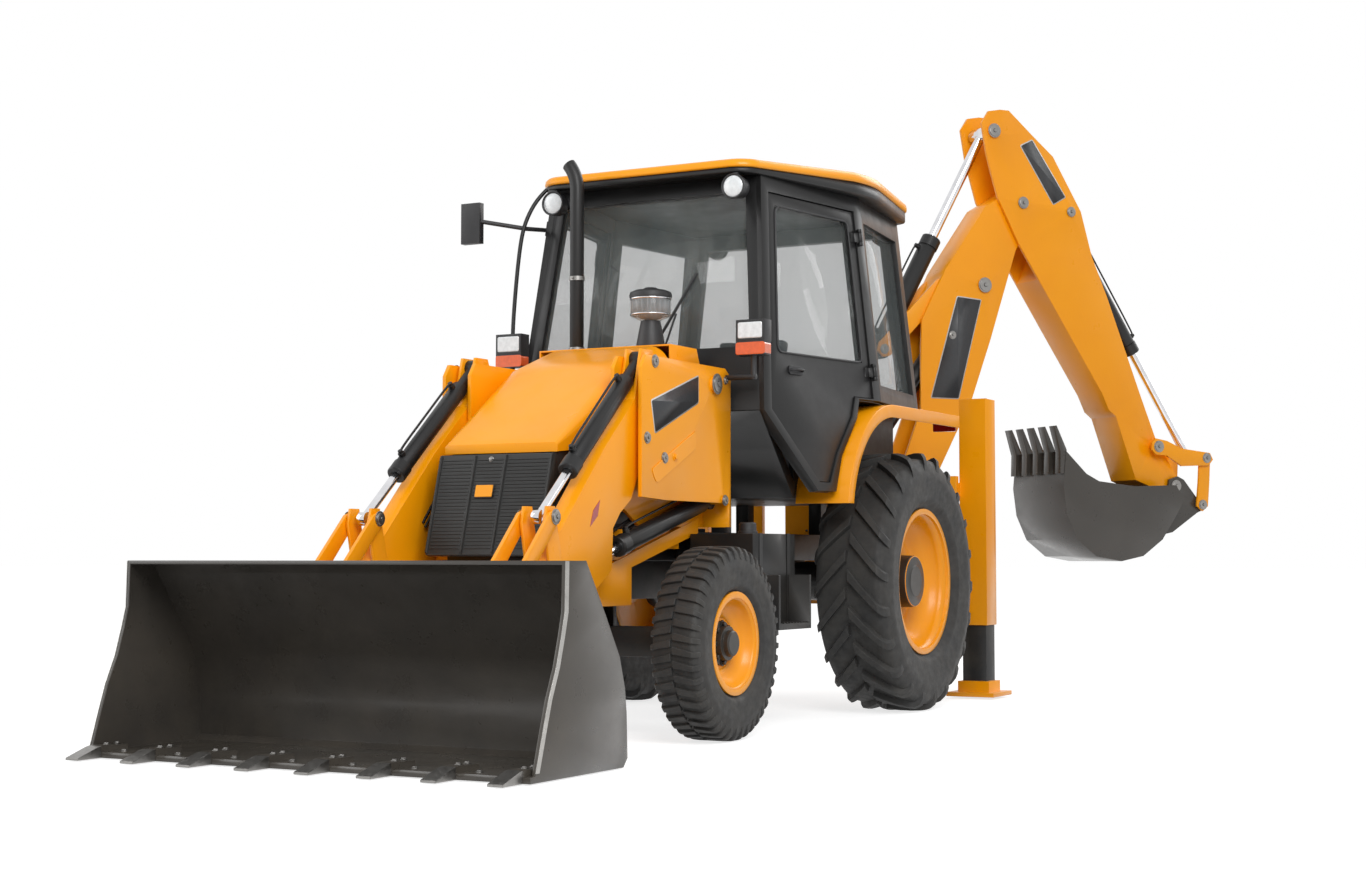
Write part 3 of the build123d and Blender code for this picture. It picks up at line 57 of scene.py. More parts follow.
ABOVE = Vector((0, 0, 1))
HOE_SIDE = Vector((math.sin(SLEW), math.cos(SLEW), 0))
SIDES = ((1, "left"), (-1, "right"))


# Views: each gives a point in metres from two numbers in its plane and one across it
def at(x, y, z):
    """A point of the machine, or of its plan."""
    return AXLE + Vector((x, y, z)) / MM


def side_at(x, z, y):
    """A point of the side view, at a distance to the left."""
    return at(x, y, z)


def front_at(y, z, x):
    """A point of the front view, at a distance ahead."""
    return at(x, y, z)


def hoe(r, z, n=0):
    """A point of the backhoe's slewed side view, at a distance across it."""
    x = SLEW_X - r * math.cos(SLEW) + n * math.sin(SLEW)
    y = r * math.sin(SLEW) + n * math.cos(SLEW)
    return at(x, y, z)


# Camera at the photograph's viewing angle
CAMERA_PLACE = (10598.7, 5205.8, 844.5)
CAMERA_RIGHT = (-0.4721, 0.8816, 0.0)
CAMERA_AHEAD = (-0.8801, -0.4713, 0.05875)
FOCAL_PIXELS = 2030.74
IMAGE_WIDTH = 1366
SENSOR_WIDTH = 36
camera_data = bpy.data.cameras.new("camera")
camera_data.sensor_width = SENSOR_WIDTH
camera_data.lens = FOCAL_PIXELS / IMAGE_WIDTH * SENSOR_WIDTH
camera_data.clip_end = 200
camera = bpy.data.objects.new("camera", camera_data)
bpy.context.scene.collection.objects.link(camera)
right = Vector(CAMERA_RIGHT).normalized()
back = -Vector(CAMERA_AHEAD).normalized()
up = back.cross(right)
camera_turn = Matrix((right, up, back)).transposed().to_4x4()
camera.matrix_world = Matrix.Translation(at(*CAMERA_PLACE)) @ camera_turn
bpy.context.scene.camera = camera


# Materials
def srgb(r, g, b):
    """Linear colour of an 8-bit screen colour."""
    out = []
    for value in (r, g, b):
        c = value / 255
        out.append(c / 12.92 if c <= 0.04045 else ((c + 0.055) / 1.055) ** 2.4)
    return (*out, 1)


class Shader:
    """A material's node tree with short ways to add and join nodes."""

    def __init__(self, name):
        self.material = bpy.data.materials.new(name)
        self.material.use_nodes = True
        self.nodes = self.material.node_tree.nodes
        self.links = self.material.node_tree.links
        self.bsdf = self.nodes["Principled BSDF"]
        self.place = self.add("ShaderNodeTexCoord").outputs["Object"]

    def add(self, kind, **values):
        node = self.nodes.new(kind)
        for key, value in values.items():
            setattr(node, key, value)
        return node

    def set(self, **values):
        for key, value in values.items():
            self.bsdf.inputs[key.replace("_", " ")].default_value = value

    def noise(self, scale, detail=4, rough=0.6):
        node = self.add("ShaderNodeTexNoise")
        node.inputs["Scale"].default_value = scale
        node.inputs["Detail"].default_value = detail
        node.inputs["Roughness"].default_value = rough
        self.links.new(self.place, node.inputs["Vector"])
        return node.outputs["Fac"]

    def ramp(self, source, low, high, value_low=0.0, value_high=1.0):
        node = self.add("ShaderNodeMapRange")
        node.inputs["From Min"].default_value = low
        node.inputs["From Max"].default_value = high
        node.inputs["To Min"].default_value = value_low
        node.inputs["To Max"].default_value = value_high
        self.links.new(source, node.inputs["Value"])
        return node.outputs["Result"]

    def math(self, kind, a, b):
        node = self.add("ShaderNodeMath", operation=kind)
        for socket, value in ((node.inputs[0], a), (node.inputs[1], b)):
            if isinstance(value, (int, float)):
                socket.default_value = value
            else:
                self.links.new(value, socket)
        return node.outputs["Value"]

    def mix(self, factor, a, b):
        node = self.add("ShaderNodeMix", data_type="RGBA")
        self.links.new(factor, node.inputs["Factor"])
        for socket, value in ((node.inputs["A"], a), (node.inputs["B"], b)):
            if isinstance(value, tuple):
                socket.default_value = value
            else:
                self.links.new(value, socket)
        return node.outputs["Result"]

    def bump(self, height, strength, distance):
        """Raise the surface by up to a distance in metres."""
        node = self.add("ShaderNodeBump")
        node.inputs["Strength"].default_value = strength
        node.inputs["Distance"].default_value = distance
        self.links.new(height, node.inputs["Height"])
        self.links.new(node.outputs["Normal"], self.bsdf.inputs["Normal"])

    def colour(self, source):
        self.links.new(source, self.bsdf.inputs["Base Color"])

    def rough(self, source):
        self.links.new(source, self.bsdf.inputs["Roughness"])

    def low_dust(self, top):
        """More near the ground, broken up by noise."""
        split = self.add("ShaderNodeSeparateXYZ")
        self.links.new(self.place, split.inputs["Vector"])
        height = self.ramp(split.outputs["Z"], 0.0, top, 1.0, 0.0)
        return self.math("MULTIPLY", height, self.ramp(self.noise(3.5, 6), 0.35, 0.7))


DUST_TOP = 1.1  # metres
DUST_COLOUR = (0.21, 0.17, 0.12, 1)


def dimmed(colour, share):
    """A colour brought down to a share of its light."""
    return (*(c * share for c in colour[:3]), 1)


def paint(name, colour, shade, roughness, coat, dust=0.18):
    """Paint with an uneven tone, dark specks, dust low down and a fine grain."""
    s = Shader(name)
    tone = s.mix(s.ramp(s.noise(1.3, 3), 0.3, 0.7), colour, shade)
    speck = s.ramp(s.noise(46, 5, 0.7), 0.62, 0.82, 0.0, 0.22)
    tone = s.mix(speck, tone, dimmed(shade, 0.55))
    tone = s.mix(s.math("MULTIPLY", s.low_dust(DUST_TOP), dust), tone, DUST_COLOUR)
    s.colour(tone)
    s.rough(s.ramp(s.noise(9, 5), 0.2, 0.8, roughness - 0.06, roughness + 0.12))
    s.set(Coat_Weight=coat, Coat_Roughness=0.12, Specular_IOR_Level=0.35)
    s.bump(s.noise(260, 2, 0.5), 0.05, 0.001)
    return s.material


YELLOW = paint("yellow_paint", srgb(250, 163, 4), srgb(244, 154, 2), 0.3, 0.1)
DARK = paint("dark_paint", srgb(38, 38, 37), srgb(32, 32, 31), 0.38, 0.08)
BLACK = paint("black_paint", srgb(24, 24, 24), srgb(19, 19, 20), 0.42, 0.06)
BUCKET = paint("bucket_paint", srgb(66, 62, 57), srgb(54, 51, 47), 0.28, 0.3, dust=0.12)


def plain(name, colour, roughness, metallic, scale, bump, spread, **more):
    """A plain finish whose tone and gloss vary a little."""
    s = Shader(name)
    s.colour(s.mix(s.ramp(s.noise(scale * 0.2), 0.3, 0.7), colour, dimmed(colour, 0.8)))
    s.rough(s.ramp(s.noise(scale * 0.5), 0.25, 0.75, roughness - spread, roughness + spread))
    s.set(Metallic=metallic, **more)
    s.bump(s.noise(scale, 5), bump, 0.002)
    return s.material


def rubber():
    s = Shader("tyre_rubber")
    dust = s.math("MULTIPLY", s.ramp(s.noise(7, 6), 0.35, 0.75), 0.5)
    s.colour(s.mix(dust, srgb(33, 33, 33), srgb(70, 67, 62)))
    s.rough(s.ramp(s.noise(24, 4), 0.3, 0.7, 0.58, 0.8))
    s.bump(s.noise(140, 5, 0.7), 0.25, 0.003)
    return s.material


def glass():
    s = Shader("cab_glass")
    film = s.ramp(s.noise(2.2, 5), 0.35, 0.75, 0.0, 1.0)
    s.colour(s.mix(film, srgb(120, 130, 130), srgb(150, 154, 150)))
    s.rough(s.ramp(s.noise(5, 4), 0.3, 0.7, 0.02, 0.08))
    s.set(Specular_IOR_Level=0.6, Alpha=0.22)
    return s.material


def fabric():
    s = Shader("seat_fabric")
    wave = s.add("ShaderNodeTexWave", wave_type="BANDS", bands_direction="DIAGONAL")
    wave.inputs["Scale"].default_value = 160
    wave.inputs["Distortion"].default_value = 3
    s.links.new(s.place, wave.inputs["Vector"])
    weave = s.math("ADD", wave.outputs["Fac"], s.math("MULTIPLY", s.noise(420, 3), 0.6))
    s.colour(s.mix(s.ramp(weave, 0.2, 1.3), srgb(44, 45, 48), srgb(84, 86, 90)))
    s.rough(s.ramp(s.noise(30), 0.3, 0.7, 0.75, 0.92))
    s.set(Sheen_Weight=0.3)
    s.bump(weave, 0.35, 0.002)
    return s.material


RUBBER = rubber()
GLASS = glass()
FABRIC = fabric()
# Name, colour, roughness, metal, noise scale, strength of the bump, spread of the roughness
CHROME = plain("chrome_rod", (0.78, 0.78, 0.8, 1), 0.12, 1.0, 60, 0.02, 0.04)
STEEL = plain("bare_steel", srgb(150, 148, 145), 0.38, 1.0, 120, 0.15, 0.1)
PLASTIC = plain("black_plastic", srgb(34, 34, 36), 0.5, 0.0, 300, 0.2, 0.1)
HOSE = plain("hose_rubber", srgb(26, 26, 27), 0.55, 0.0, 300, 0.3, 0.1)
LENS = plain("lamp_lens", srgb(232, 236, 238), 0.12, 0.0, 200, 0.1, 0.05, Coat_Weight=1.0)
ORANGE = plain("indicator_lens", srgb(230, 92, 16), 0.2, 0.0, 200, 0.1, 0.05, Coat_Weight=0.8)
RED = plain("tail_lens", srgb(168, 22, 18), 0.2, 0.0, 200, 0.1, 0.05, Coat_Weight=0.8)
GREY = plain("grey_trim", srgb(120, 122, 124), 0.45, 0.0, 120, 0.15, 0.1)
PALE = plain("sign_border", srgb(214, 214, 210), 0.4, 0.0, 200, 0.05, 0.05)
SIGN = plain("sign_plate", srgb(50, 52, 55), 0.38, 0.0, 200, 0.05, 0.06)
# Bright metal of the strips that paint the highlight along the bucket's side edges
HIGHLIGHT_STEEL = plain("edge_highlight_steel", srgb(176, 174, 170), 0.32, 1.0, 90, 0.15, 0.1)
BOWL_CLEAR = plain("clear_bowl", srgb(200, 204, 205), 0.1, 0.0, 60, 0.02, 0.04, Alpha=0.35)
MIRROR = plain("mirror_face", (0.8, 0.82, 0.84, 1), 0.06, 1.0, 20, 0.01, 0.03)

# Finish of each node of the frame
NODE_MATERIALS = {}
for material, names in (
    (YELLOW, "rear_frame loader_towers cowl cab_roof rear_fenders hood front_rim_left front_rim_right "
             "rear_rim_left rear_rim_right loader_arms loader_levers loader_links boom dipper "
             "tipping_lever tipping_link stabiliser_left stabiliser_right lashing_eyes"),
    (BLACK, "main_frame powertrain front_axle rear_axle side_tanks exhaust_stack cab_frame door_left "
            "door_right knuckle_left knuckle_right lift_ram_barrels tilt_ram_barrels carriage kingpost "
            "boom_ram_barrel dipper_ram_barrel hoe_bucket_ram_barrel"),
    (DARK, "grille"),
    (PLASTIC, "pre_cleaner dashboard steering_wheel lamps mirrors"),
    (GLASS, "cab_glass door_glass_left door_glass_right"),
    (FABRIC, "seat"),
    (RUBBER, "front_tyre_left front_tyre_right rear_tyre_left rear_tyre_right"),
    (BUCKET, "loader_bucket hoe_bucket"),
    (CHROME, "lift_ram_rods tilt_ram_rods boom_ram_rod dipper_ram_rod hoe_bucket_ram_rod"),
):
    NODE_MATERIALS.update(dict.fromkeys(names.split(), material))
NODE_EDGE = 2.5
BEVEL_ANGLE = math.radians(32)
WELD_REACH = 0.00002  # metres


def shade_smooth(mesh):
    for face in mesh.polygons:
        face.use_smooth = True


def add_bevel(obj, width):
    """Round an object's sharp edges by a width."""
    bevel = obj.modifiers.new("bevel", "BEVEL")
    bevel.width = width / MM
    bevel.segments = 2
    bevel.limit_method = "ANGLE"
    bevel.angle_limit = BEVEL_ANGLE
    bevel.harden_normals = True
    return bevel


for node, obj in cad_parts.items():
    obj.data.materials.clear()
    obj.data.materials.append(NODE_MATERIALS[node])
    shade_smooth(obj.data)
    obj.modifiers.new("weld", "WELD").merge_threshold = WELD_REACH
    if "glass" not in node:
        add_bevel(obj, NODE_EDGE).miter_outer = "MITER_SHARP"

# The stabiliser legs are dark above their yellow feet
FOOT_TOP = 110
for node in ("stabiliser_left", "stabiliser_right"):
    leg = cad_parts[node]
    leg.data.materials.append(BLACK)
    for face in leg.data.polygons:
        if (leg.matrix_world @ face.center).z > at(0, 0, FOOT_TOP).z:
            face.material_index = 1


def link_piece(obj, body):
    """Put a new piece in the scene, on its body."""
    bpy.context.scene.collection.objects.link(obj)
    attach(obj, body)
    return obj


def from_bmesh(name, bm, material, body, edge=0.0):
    """Make a piece of a mesh, its sharp edges rounded by a width."""
    bmesh.ops.recalc_face_normals(bm, faces=bm.faces)
    mesh = bpy.data.meshes.new(name)
    bm.to_mesh(mesh)
    bm.free()
    mesh.materials.append(material)
    shade_smooth(mesh)
    obj = bpy.data.objects.new(name, mesh)
    if edge:
        add_bevel(obj, edge)
    return link_piece(obj, body)


def prism(bm, low, high):
    """Add a closed prism between two rings of points."""
    n = len(low)
    a = [bm.verts.new(p) for p in low]
    b = [bm.verts.new(p) for p in high]
    bm.faces.new(a)
    bm.faces.new(list(reversed(b)))
    for i in range(n):
        j = (i + 1) % n
        bm.faces.new((a[i], b[i], b[j], a[j]))


def band(bm, rings):
    """Add the faces between each two rings of corners that follow each other."""
    for a, b in zip(rings, rings[1:]):
        for i in range(len(a)):
            j = (i + 1) % len(a)
            bm.faces.new((a[i], a[j], b[j], b[i]))


def spin(first, second, angle):
    """The direction at an angle from one axis towards another."""
    return first * math.cos(angle) + second * math.sin(angle)


def lathe(bm, centre, axis, rings, steps):
    """Add a turned shape: rings of (distance along the axis, radius)."""
    axis = axis.normalized()
    side = (ABOVE if abs(axis.z) < 0.9 else AHEAD).cross(axis).normalized()
    third = axis.cross(side)
    made = []
    for along, radius in rings:
        middle = centre + axis * (along / MM)
        count = steps if radius else 1
        made.append([bm.verts.new(middle + spin(side, third, math.tau * i / steps) * (radius / MM))
                     for i in range(count)])
    for first, second in zip(made, made[1:]):
        for i in range(steps):
            j = (i + 1) % steps
            ring = (first[i % len(first)], first[j % len(first)],
                    second[j % len(second)], second[i % len(second)])
            corners = list(dict.fromkeys(ring))
            if len(corners) > 2:
                bm.faces.new(corners)


def bolt(bm, place, axis, radius, height, washer=True):
    """Add a hexagon bolt head, with or without its washer."""
    if washer:
        lathe(bm, place, axis, [(0, radius * 1.5), (height * 0.3, radius * 1.5),
                                (height * 0.3, radius * 0.9)], 20)
    lathe(bm, place, axis, [(0, radius), (height * 0.85, radius), (height, radius * 0.86), (height, 0)], 6)


def wire(name, points, radius, material, body, cyclic=False):
    """Add a pipe along a smooth curve."""
    curve = bpy.data.curves.new(name, "CURVE")
    curve.dimensions = "3D"
    curve.bevel_depth = radius / MM
    curve.bevel_resolution = 3
    curve.use_fill_caps = True
    spline = curve.splines.new("NURBS")
    spline.points.add(len(points) - 1)
    for point, place in zip(spline.points, points):
        point.co = (*place, 1)
    spline.use_cyclic_u = cyclic
    spline.order_u = 3
    spline.use_endpoint_u = not cyclic
    curve.resolution_u = 8
    curve.materials.append(material)
    return link_piece(bpy.data.objects.new(name, curve), body)


def rect(a0, b0, a1, b1):
    """The corners of a rectangle between two opposite corners."""
    return [(a0, b0), (a1, b0), (a1, b1), (a0, b1)]


CORNER_SHARE = 0.45  # the most that a rounded corner takes of each side


def rounded(points, radius, steps=5):
    """Round each corner of a closed outline."""
    out = []
    count = len(points)
    for i in range(count):
        here = Vector(points[i])
        before = Vector(points[i - 1]) - here
        after = Vector(points[(i + 1) % count]) - here
        reach = min(radius, before.length * CORNER_SHARE, after.length * CORNER_SHARE)
        a = here + before.normalized() * reach
        b = here + after.normalized() * reach
        for k in range(steps + 1):
            t = k / steps
            p = a * (1 - t) ** 2 + here * 2 * t * (1 - t) + b * t * t
            out.append((p.x, p.y))
    return out


def inset(points, amount):
    """Move a closed outline inwards, whichever way it runs."""
    out = []
    count = len(points)
    if sum((b[0] - a[0]) * (b[1] + a[1]) for a, b in zip(points, points[1:] + points[:1])) > 0:
        amount = -amount
    for i in range(count):
        before = Vector(points[i]) - Vector(points[i - 1])
        after = Vector(points[(i + 1) % count]) - Vector(points[i])
        normal = Vector((0, 0))
        for edge in (before, after):
            if edge.length > 1e-6:
                normal += Vector((-edge.y, edge.x)).normalized()
        normal.normalize()
        out.append((points[i][0] + normal.x * amount, points[i][1] + normal.y * amount))
    return out


def block(bm, view, low_loop, low, high_loop, high):
    """Add a block between two outlines of a view, each at its own distance across it."""
    prism(bm, [view(a, b, low) for a, b in low_loop], [view(a, b, high) for a, b in high_loop])


def plate(bm, view, loop, low, high):
    """Add a flat plate of a view between two distances across it."""
    block(bm, view, loop, low, loop, high)


def smoothstep(low, high, value):
    t = min(1, max(0, (value - low) / (high - low)))
    return t * t * (3 - 2 * t)


# Wheels: X, distance from the middle, radius
WHEELS = {"front": (2170, 870, 450), "rear": (0, 885, REAR_RADIUS)}

# Tyre section: shares of the width, with shares of the wall's height above the rim, or for the crown
# with the height above the carcass
INNER_WALL = [(-0.43, 0.16), (-0.475, 0.32), (-0.492, 0.5), (-0.485, 0.66), (-0.46, 0.8)]
CROWN = [(-0.415, -9), (-0.34, -2), (-0.17, 0), (0, 1), (0.17, 0), (0.34, -2), (0.415, -9)]
OUTER_WALL = [(0.46, 0.8), (0.485, 0.66), (0.496, 0.6), (0.497, 0.56), (0.489, 0.5), (0.475, 0.32),
              (0.462, 0.25), (0.463, 0.21), (0.43, 0.16)]
BEAD = 0.36
MERGE_REACH = 0.00001  # metres
# Lug sections: share of the width from the middle, drop of the top on a wall as high as LUG_WALL
LUG_STATIONS = [(0.015, 0), (0.12, 0), (0.24, 0), (0.34, 2), (0.4, 6), (0.452, 26), (0.478, 60)]
LUG_WALL = 330
LUG_REACH = 0.45
LUG_TAPER = 0.28
LUG_FLARE = 1.25
LUG_ROOT = 12
# Tyres: name, width, rim radius, lug count, lug height, lug width, sweep in radians
TYRES = [("front", 250, 222, 44, 13, 34, 0.05), ("rear", 430, 385, 22, 32, 62, 0.3)]


def lug_ring(bm, centre, turn, thick, low, top, across):
    """Add the four corners of one lug section."""
    ring = []
    for angle, reach in ((turn - thick * LUG_FLARE, low), (turn - thick, top), (turn + thick, top),
                         (turn + thick * LUG_FLARE, low)):
        spot = Vector((math.sin(angle) * reach, 0, math.cos(angle) * reach)) / MM
        ring.append(bm.verts.new(centre + spot + across))
    return ring


for axle, width, rim_r, count, lug_h, lug_w, sweep in TYRES:
    x, track, radius = WHEELS[axle]
    for side, name in SIDES:
        centre = at(x, side * track, radius)
        carcass = radius - lug_h
        bead = width * BEAD
        wall = radius - rim_r
        profile = [(-bead, rim_r + 1), (-bead, rim_r + 24)]
        profile += [(width * a, rim_r + wall * b) for a, b in INNER_WALL]
        profile += [(width * a, carcass + b) for a, b in CROWN]
        profile += [(width * a, rim_r + wall * b) for a, b in OUTER_WALL]
        profile += [(bead, rim_r + 24), (bead, rim_r + 1)]
        bm = bmesh.new()
        lathe(bm, centre, LEFT * side, profile + profile[:1], 96)
        bmesh.ops.remove_doubles(bm, verts=bm.verts, dist=MERGE_REACH)
        tyre = from_bmesh(f"{axle}_tread_{name}_body", bm, RUBBER, f"{axle}_wheel_{name}")
        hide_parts(f"{axle}_tyre_{name}")
        bm = bmesh.new()
        for index in range(count):
            for half in (1, -1):
                shift = 0.5 * math.pi / count * half
                rings = []
                for place, drop in LUG_STATIONS:
                    drop = drop * wall / LUG_WALL
                    turn = math.tau * index / count + shift + sweep * place / LUG_REACH
                    thick = (lug_w * (1 - LUG_TAPER * place / LUG_REACH)) / radius / 2
                    rings.append(lug_ring(bm, centre, turn, thick, carcass - drop * 0.9 - LUG_ROOT,
                                          radius - drop, LEFT * half * place * width / MM))
                band(bm, rings)
                bm.faces.new(rings[0])
                bm.faces.new(list(reversed(rings[-1])))
        from_bmesh(f"{axle}_lugs_{name}", bm, RUBBER, f"{axle}_wheel_{name}", 3)

# Wheel hubs and nuts: axle, hub profile, nut circle, nut count, nut face, dish profile
HUBS = [
    ("front", [(19.5, 104), (28, 104), (31, 82), (62, 80), (64, 62), (86, 60), (92, 52), (92, 0)],
     88, 8, 28, [(19.5, 118), (22, 150), (34, 176), (62, 196), (84, 203), (99, 209)]),
    ("rear", [(-25.5, 172), (-12, 172), (-8, 146), (104, 143), (111, 136), (114, 90), (118, 84), (118, 0)],
     158, 10, -12, [(-25.5, 190), (-20, 262), (-2, 300), (46, 330), (60, 352), (110, 360), (150, 372)]),
]
DISH_PLATE = 4
VALVE_TURN = 0.6  # radians
for axle, hub, circle, count, face, dish in HUBS:
    x, track, radius = WHEELS[axle]
    for side, name in SIDES:
        centre = at(x, side * track, radius)
        axis = LEFT * side
        bm = bmesh.new()
        lathe(bm, centre, axis, hub, 48)
        for index in range(count):
            spot = spin(ABOVE, AHEAD, math.tau * index / count) * circle / MM
            bolt(bm, centre + spot + axis * face / MM, axis, 13, 18)
        from_bmesh(f"{axle}_hub_{name}", bm, DARK, f"{axle}_wheel_{name}", 1.5)
        bm = bmesh.new()
        lathe(bm, centre, axis, dish, 72)
        dish_piece = from_bmesh(f"{axle}_dish_{name}", bm, YELLOW, f"{axle}_wheel_{name}")
        shell = dish_piece.modifiers.new("thick", "SOLIDIFY")
        shell.thickness = DISH_PLATE / MM
        shell.offset = 0
        bm = bmesh.new()
        stem = spin(ABOVE, AHEAD, VALVE_TURN)
        along, out = dish[1]
        lathe(bm, centre + stem * (out / MM) + axis * (along / MM), axis + stem * 0.3,
              [(0, 6), (20, 6), (24, 4), (45, 4), (45, 0)], 12)
        from_bmesh(f"{axle}_valve_{name}", bm, STEEL, f"{axle}_wheel_{name}")

# Roof shell over its black trim
ROOF_PLAN = [(1350, 560), (1290, 640), (420, 880), (240, 890), (-590, 730), (-640, 660),
             (-640, -660), (-590, -730), (240, -890), (420, -880), (1290, -640), (1350, -560)]
ROOF_LOOP = rounded(ROOF_PLAN, 90, 6)
ROOF_MIDDLE = 330
ROOF_HALF = 640
ROOF_RIM = 16
TRIM_LOW = 2830.5


def roof_low(x):
    """Height of the roof's lower edge, which falls towards the front."""
    return 2858 + 34 * (1 - smoothstep(780, 1250, x))


def roof_top(x):
    """Height of the roof's top, which falls towards the front."""
    return 2950 - 44 * smoothstep(820, 1240, x)


def trim_low(x):
    """Height of the trim's lower edge, which is level."""
    return TRIM_LOW


def roof_rings(bm, rings):
    """Add rings of the roof's outline: distance inwards, height and what is added to it."""
    made = []
    for amount, height, more in rings:
        loop = inset(ROOF_LOOP, min(amount, ROOF_RIM))
        if amount > ROOF_RIM:
            share = 1 - (amount - ROOF_RIM) / ROOF_HALF
            loop = [(ROOF_MIDDLE + (x - ROOF_MIDDLE) * share, y * share) for x, y in loop]
        made.append([bm.verts.new(at(x, y, height(x) + more)) for x, y in loop])
    band(bm, made)
    return made


bm = bmesh.new()
roof = roof_rings(bm, [
    (30, roof_low, 0), (5, roof_low, 0), (0, roof_low, 7), (0, roof_top, -34), (4, roof_top, -17),
    (16, roof_top, -5), (40, roof_top, 0), (120, roof_top, 3), (170, roof_top, -6), (185, roof_top, -6),
    (330, roof_top, -2),
])
bm.faces.new(roof[-1])
roof_shell = from_bmesh("roof_shell", bm, YELLOW, "machine")
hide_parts("cab_roof")
bm = bmesh.new()
trim = roof_rings(bm, [(60, trim_low, 0), (14, trim_low, 0), (10, trim_low, 7.5), (10, roof_low, 2),
                       (60, roof_low, 2)])
bm.faces.new(trim[0])
from_bmesh("roof_trim", bm, BLACK, "machine")

# Lamps: round work lamps at X, Y, Z facing ahead or back, head lamps and indicators
WORK_LAMPS = ((1350, 545, 2755, 1), (1350, -545, 2755, 1), (-640, 560, 2770, -1), (-640, -560, 2770, -1))
bm_lens = bmesh.new()
bm_ring = bmesh.new()
for x, y, z, facing in WORK_LAMPS:
    lathe(bm_ring, at(x - facing * 14, y, z), AHEAD * facing,
          [(0, 60.5), (0, 66), (20, 66), (22, 62), (16, 56), (4, 50)], 40)
    lathe(bm_lens, at(x, y, z), AHEAD * facing, [(0.5, 55), (4, 50), (8, 35), (10, 18), (10.5, 0)], 40)
for side, name in SIDES:
    y0, y1 = sorted((side * 651, side * 789))
    plate(bm_ring, front_at, rounded(rect(y0 - 9, 1935, y1 + 9, 2036), 16), 1440, 1513)
    lens_out = rounded(rect(y0, 1944, y1, 2027), 12)
    block(bm_lens, front_at, lens_out, 1512, inset(lens_out, 5), 1516)
    bm = bmesh.new()
    y0, y1 = sorted((side * 638, side * 802))
    plate(bm, front_at, rounded(rect(y0, 1863, y1, 1926), 14), 1436, 1512)
    from_bmesh(f"indicator_{name}", bm, ORANGE, "machine", 3)
from_bmesh("lamp_bezels", bm_ring, PLASTIC, "machine", 1.5)
from_bmesh("lamp_lenses", bm_lens, LENS, "machine", 1)

# Mirror face and the long tube from the lamp up to the roof
bm = bmesh.new()
plate(bm, front_at, rounded(rect(-1002, 2548, -898, 2752), 14), 1499.5, 1497.5)
from_bmesh("mirror_face", bm, MIRROR, "machine")
wire("mirror_tube", [at(1465, -722, 2030), at(1462, -722, 2120), at(1445, -705, 2420), at(1425, -690, 2600),
                     at(1400, -665, 2700), at(1360, -630, 2790), at(1320, -600, 2840)], 11, BLACK, "machine")

# Grille: ribs, louvres, a blank plate and a bolt
GRILLE_TOP = (2710, 1326)  # X, Z
GRILLE_DOWN = Vector((125, 0, -466)).normalized()
GRILLE_OUT = Vector((466, 0, 125)).normalized()
LOUVRES = 26
LOUVRE_PITCH = 17


def grille_at(y, down, out):
    """A point in front of the grille, by its distance down from the top edge."""
    place = Vector((GRILLE_TOP[0], y, GRILLE_TOP[1])) + GRILLE_DOWN * down + GRILLE_OUT * out
    return at(*place)


bm = bmesh.new()
for y, wide in ((-306, 8), (306, 8), (-112, 5), (58, 5)):
    narrow = wide * 0.4
    block(bm, grille_at, rect(y - wide, 4, y + wide, 476), 0, rect(y - narrow, 6, y + narrow, 472), 9)
for y0, y1 in ((-292, -124), (-100, 46), (70, 292)):
    for k in range(LOUVRES):
        down = 22 + k * LOUVRE_PITCH
        block(bm, grille_at, rect(y0, down, y1, down + 9), 0.2,
              rect(y0 + 3, down + 3, y1 - 3, down + 8), 3.4)
from_bmesh("grille_ribs", bm, DARK, "machine", 1)
bm = bmesh.new()
card = rounded(rect(-82, 150, 16, 212), 8)
block(bm, grille_at, card, 3, inset(card, 3), 12)
from_bmesh("grille_plate", bm, YELLOW, "machine", 1.5)
bm = bmesh.new()
bolt(bm, grille_at(-25, 24, 0), GRILLE_OUT, 9, 7)
from_bmesh("grille_bolt", bm, STEEL, "machine")

# Pins of the towers: X, Z, radius. The widest one holds the loader arms.
TOWER_PINS = [(2215, 1776, 25), (1600, 1713, 42), (2290, 1409, 23), (2120, 1320, 23), (1480, 1740, 16)]
TOWER_OUT = 565
ARM_PIN_RADIUS = 42
ARM_PIN_OUT = 580


def pin_head(bm, place, axis, radius, height=11):
    """Add a pin's round head with a bolt in its middle."""
    lathe(bm, place, axis, [(0, radius * 1.25), (height * 0.35, radius * 1.25), (height * 0.4, radius),
                            (height * 0.85, radius), (height, radius * 0.9), (height, radius * 0.35),
                            (height * 0.7, radius * 0.3), (height * 0.7, 0)], 28)
    bolt(bm, place + axis * (height * 0.7 / MM), axis, radius * 0.3, 8, False)


bm = bmesh.new()
for side in (1, -1):
    for x, z, radius in TOWER_PINS:
        out = ARM_PIN_OUT if radius == ARM_PIN_RADIUS else TOWER_OUT
        pin_head(bm, at(x, side * out, z), LEFT * side, radius)
    pin_head(bm, at(1506, side * 575, 1134), LEFT * side, 22)
from_bmesh("tower_pins", bm, STEEL, "machine", 1)

ARM_FACES = 940  # the sum of the distances of an arm's two faces from the middle
# Pins of the loader: name, body, rows of X, Z, distance of the outer head, radius
for name, body, rows in (
    ("lever_pins", "loader_levers", ((2990, 640, 545, 26),)),
    ("bucket_link_pins", "loader_links", ((3500, 600, 560, 26), (3090, 1023, 558, 28))),
    ("bucket_pins", "loader_bucket", ((3385, 280, 545, 26),)),
):
    bm = bmesh.new()
    for side in (1, -1):
        for x, z, out, radius in rows:
            pin_head(bm, at(x, side * out, z), LEFT * side, radius)
            pin_head(bm, at(x, side * (ARM_FACES - out), z), LEFT * -side, radius)
    from_bmesh(name, bm, STEEL, body, 1)

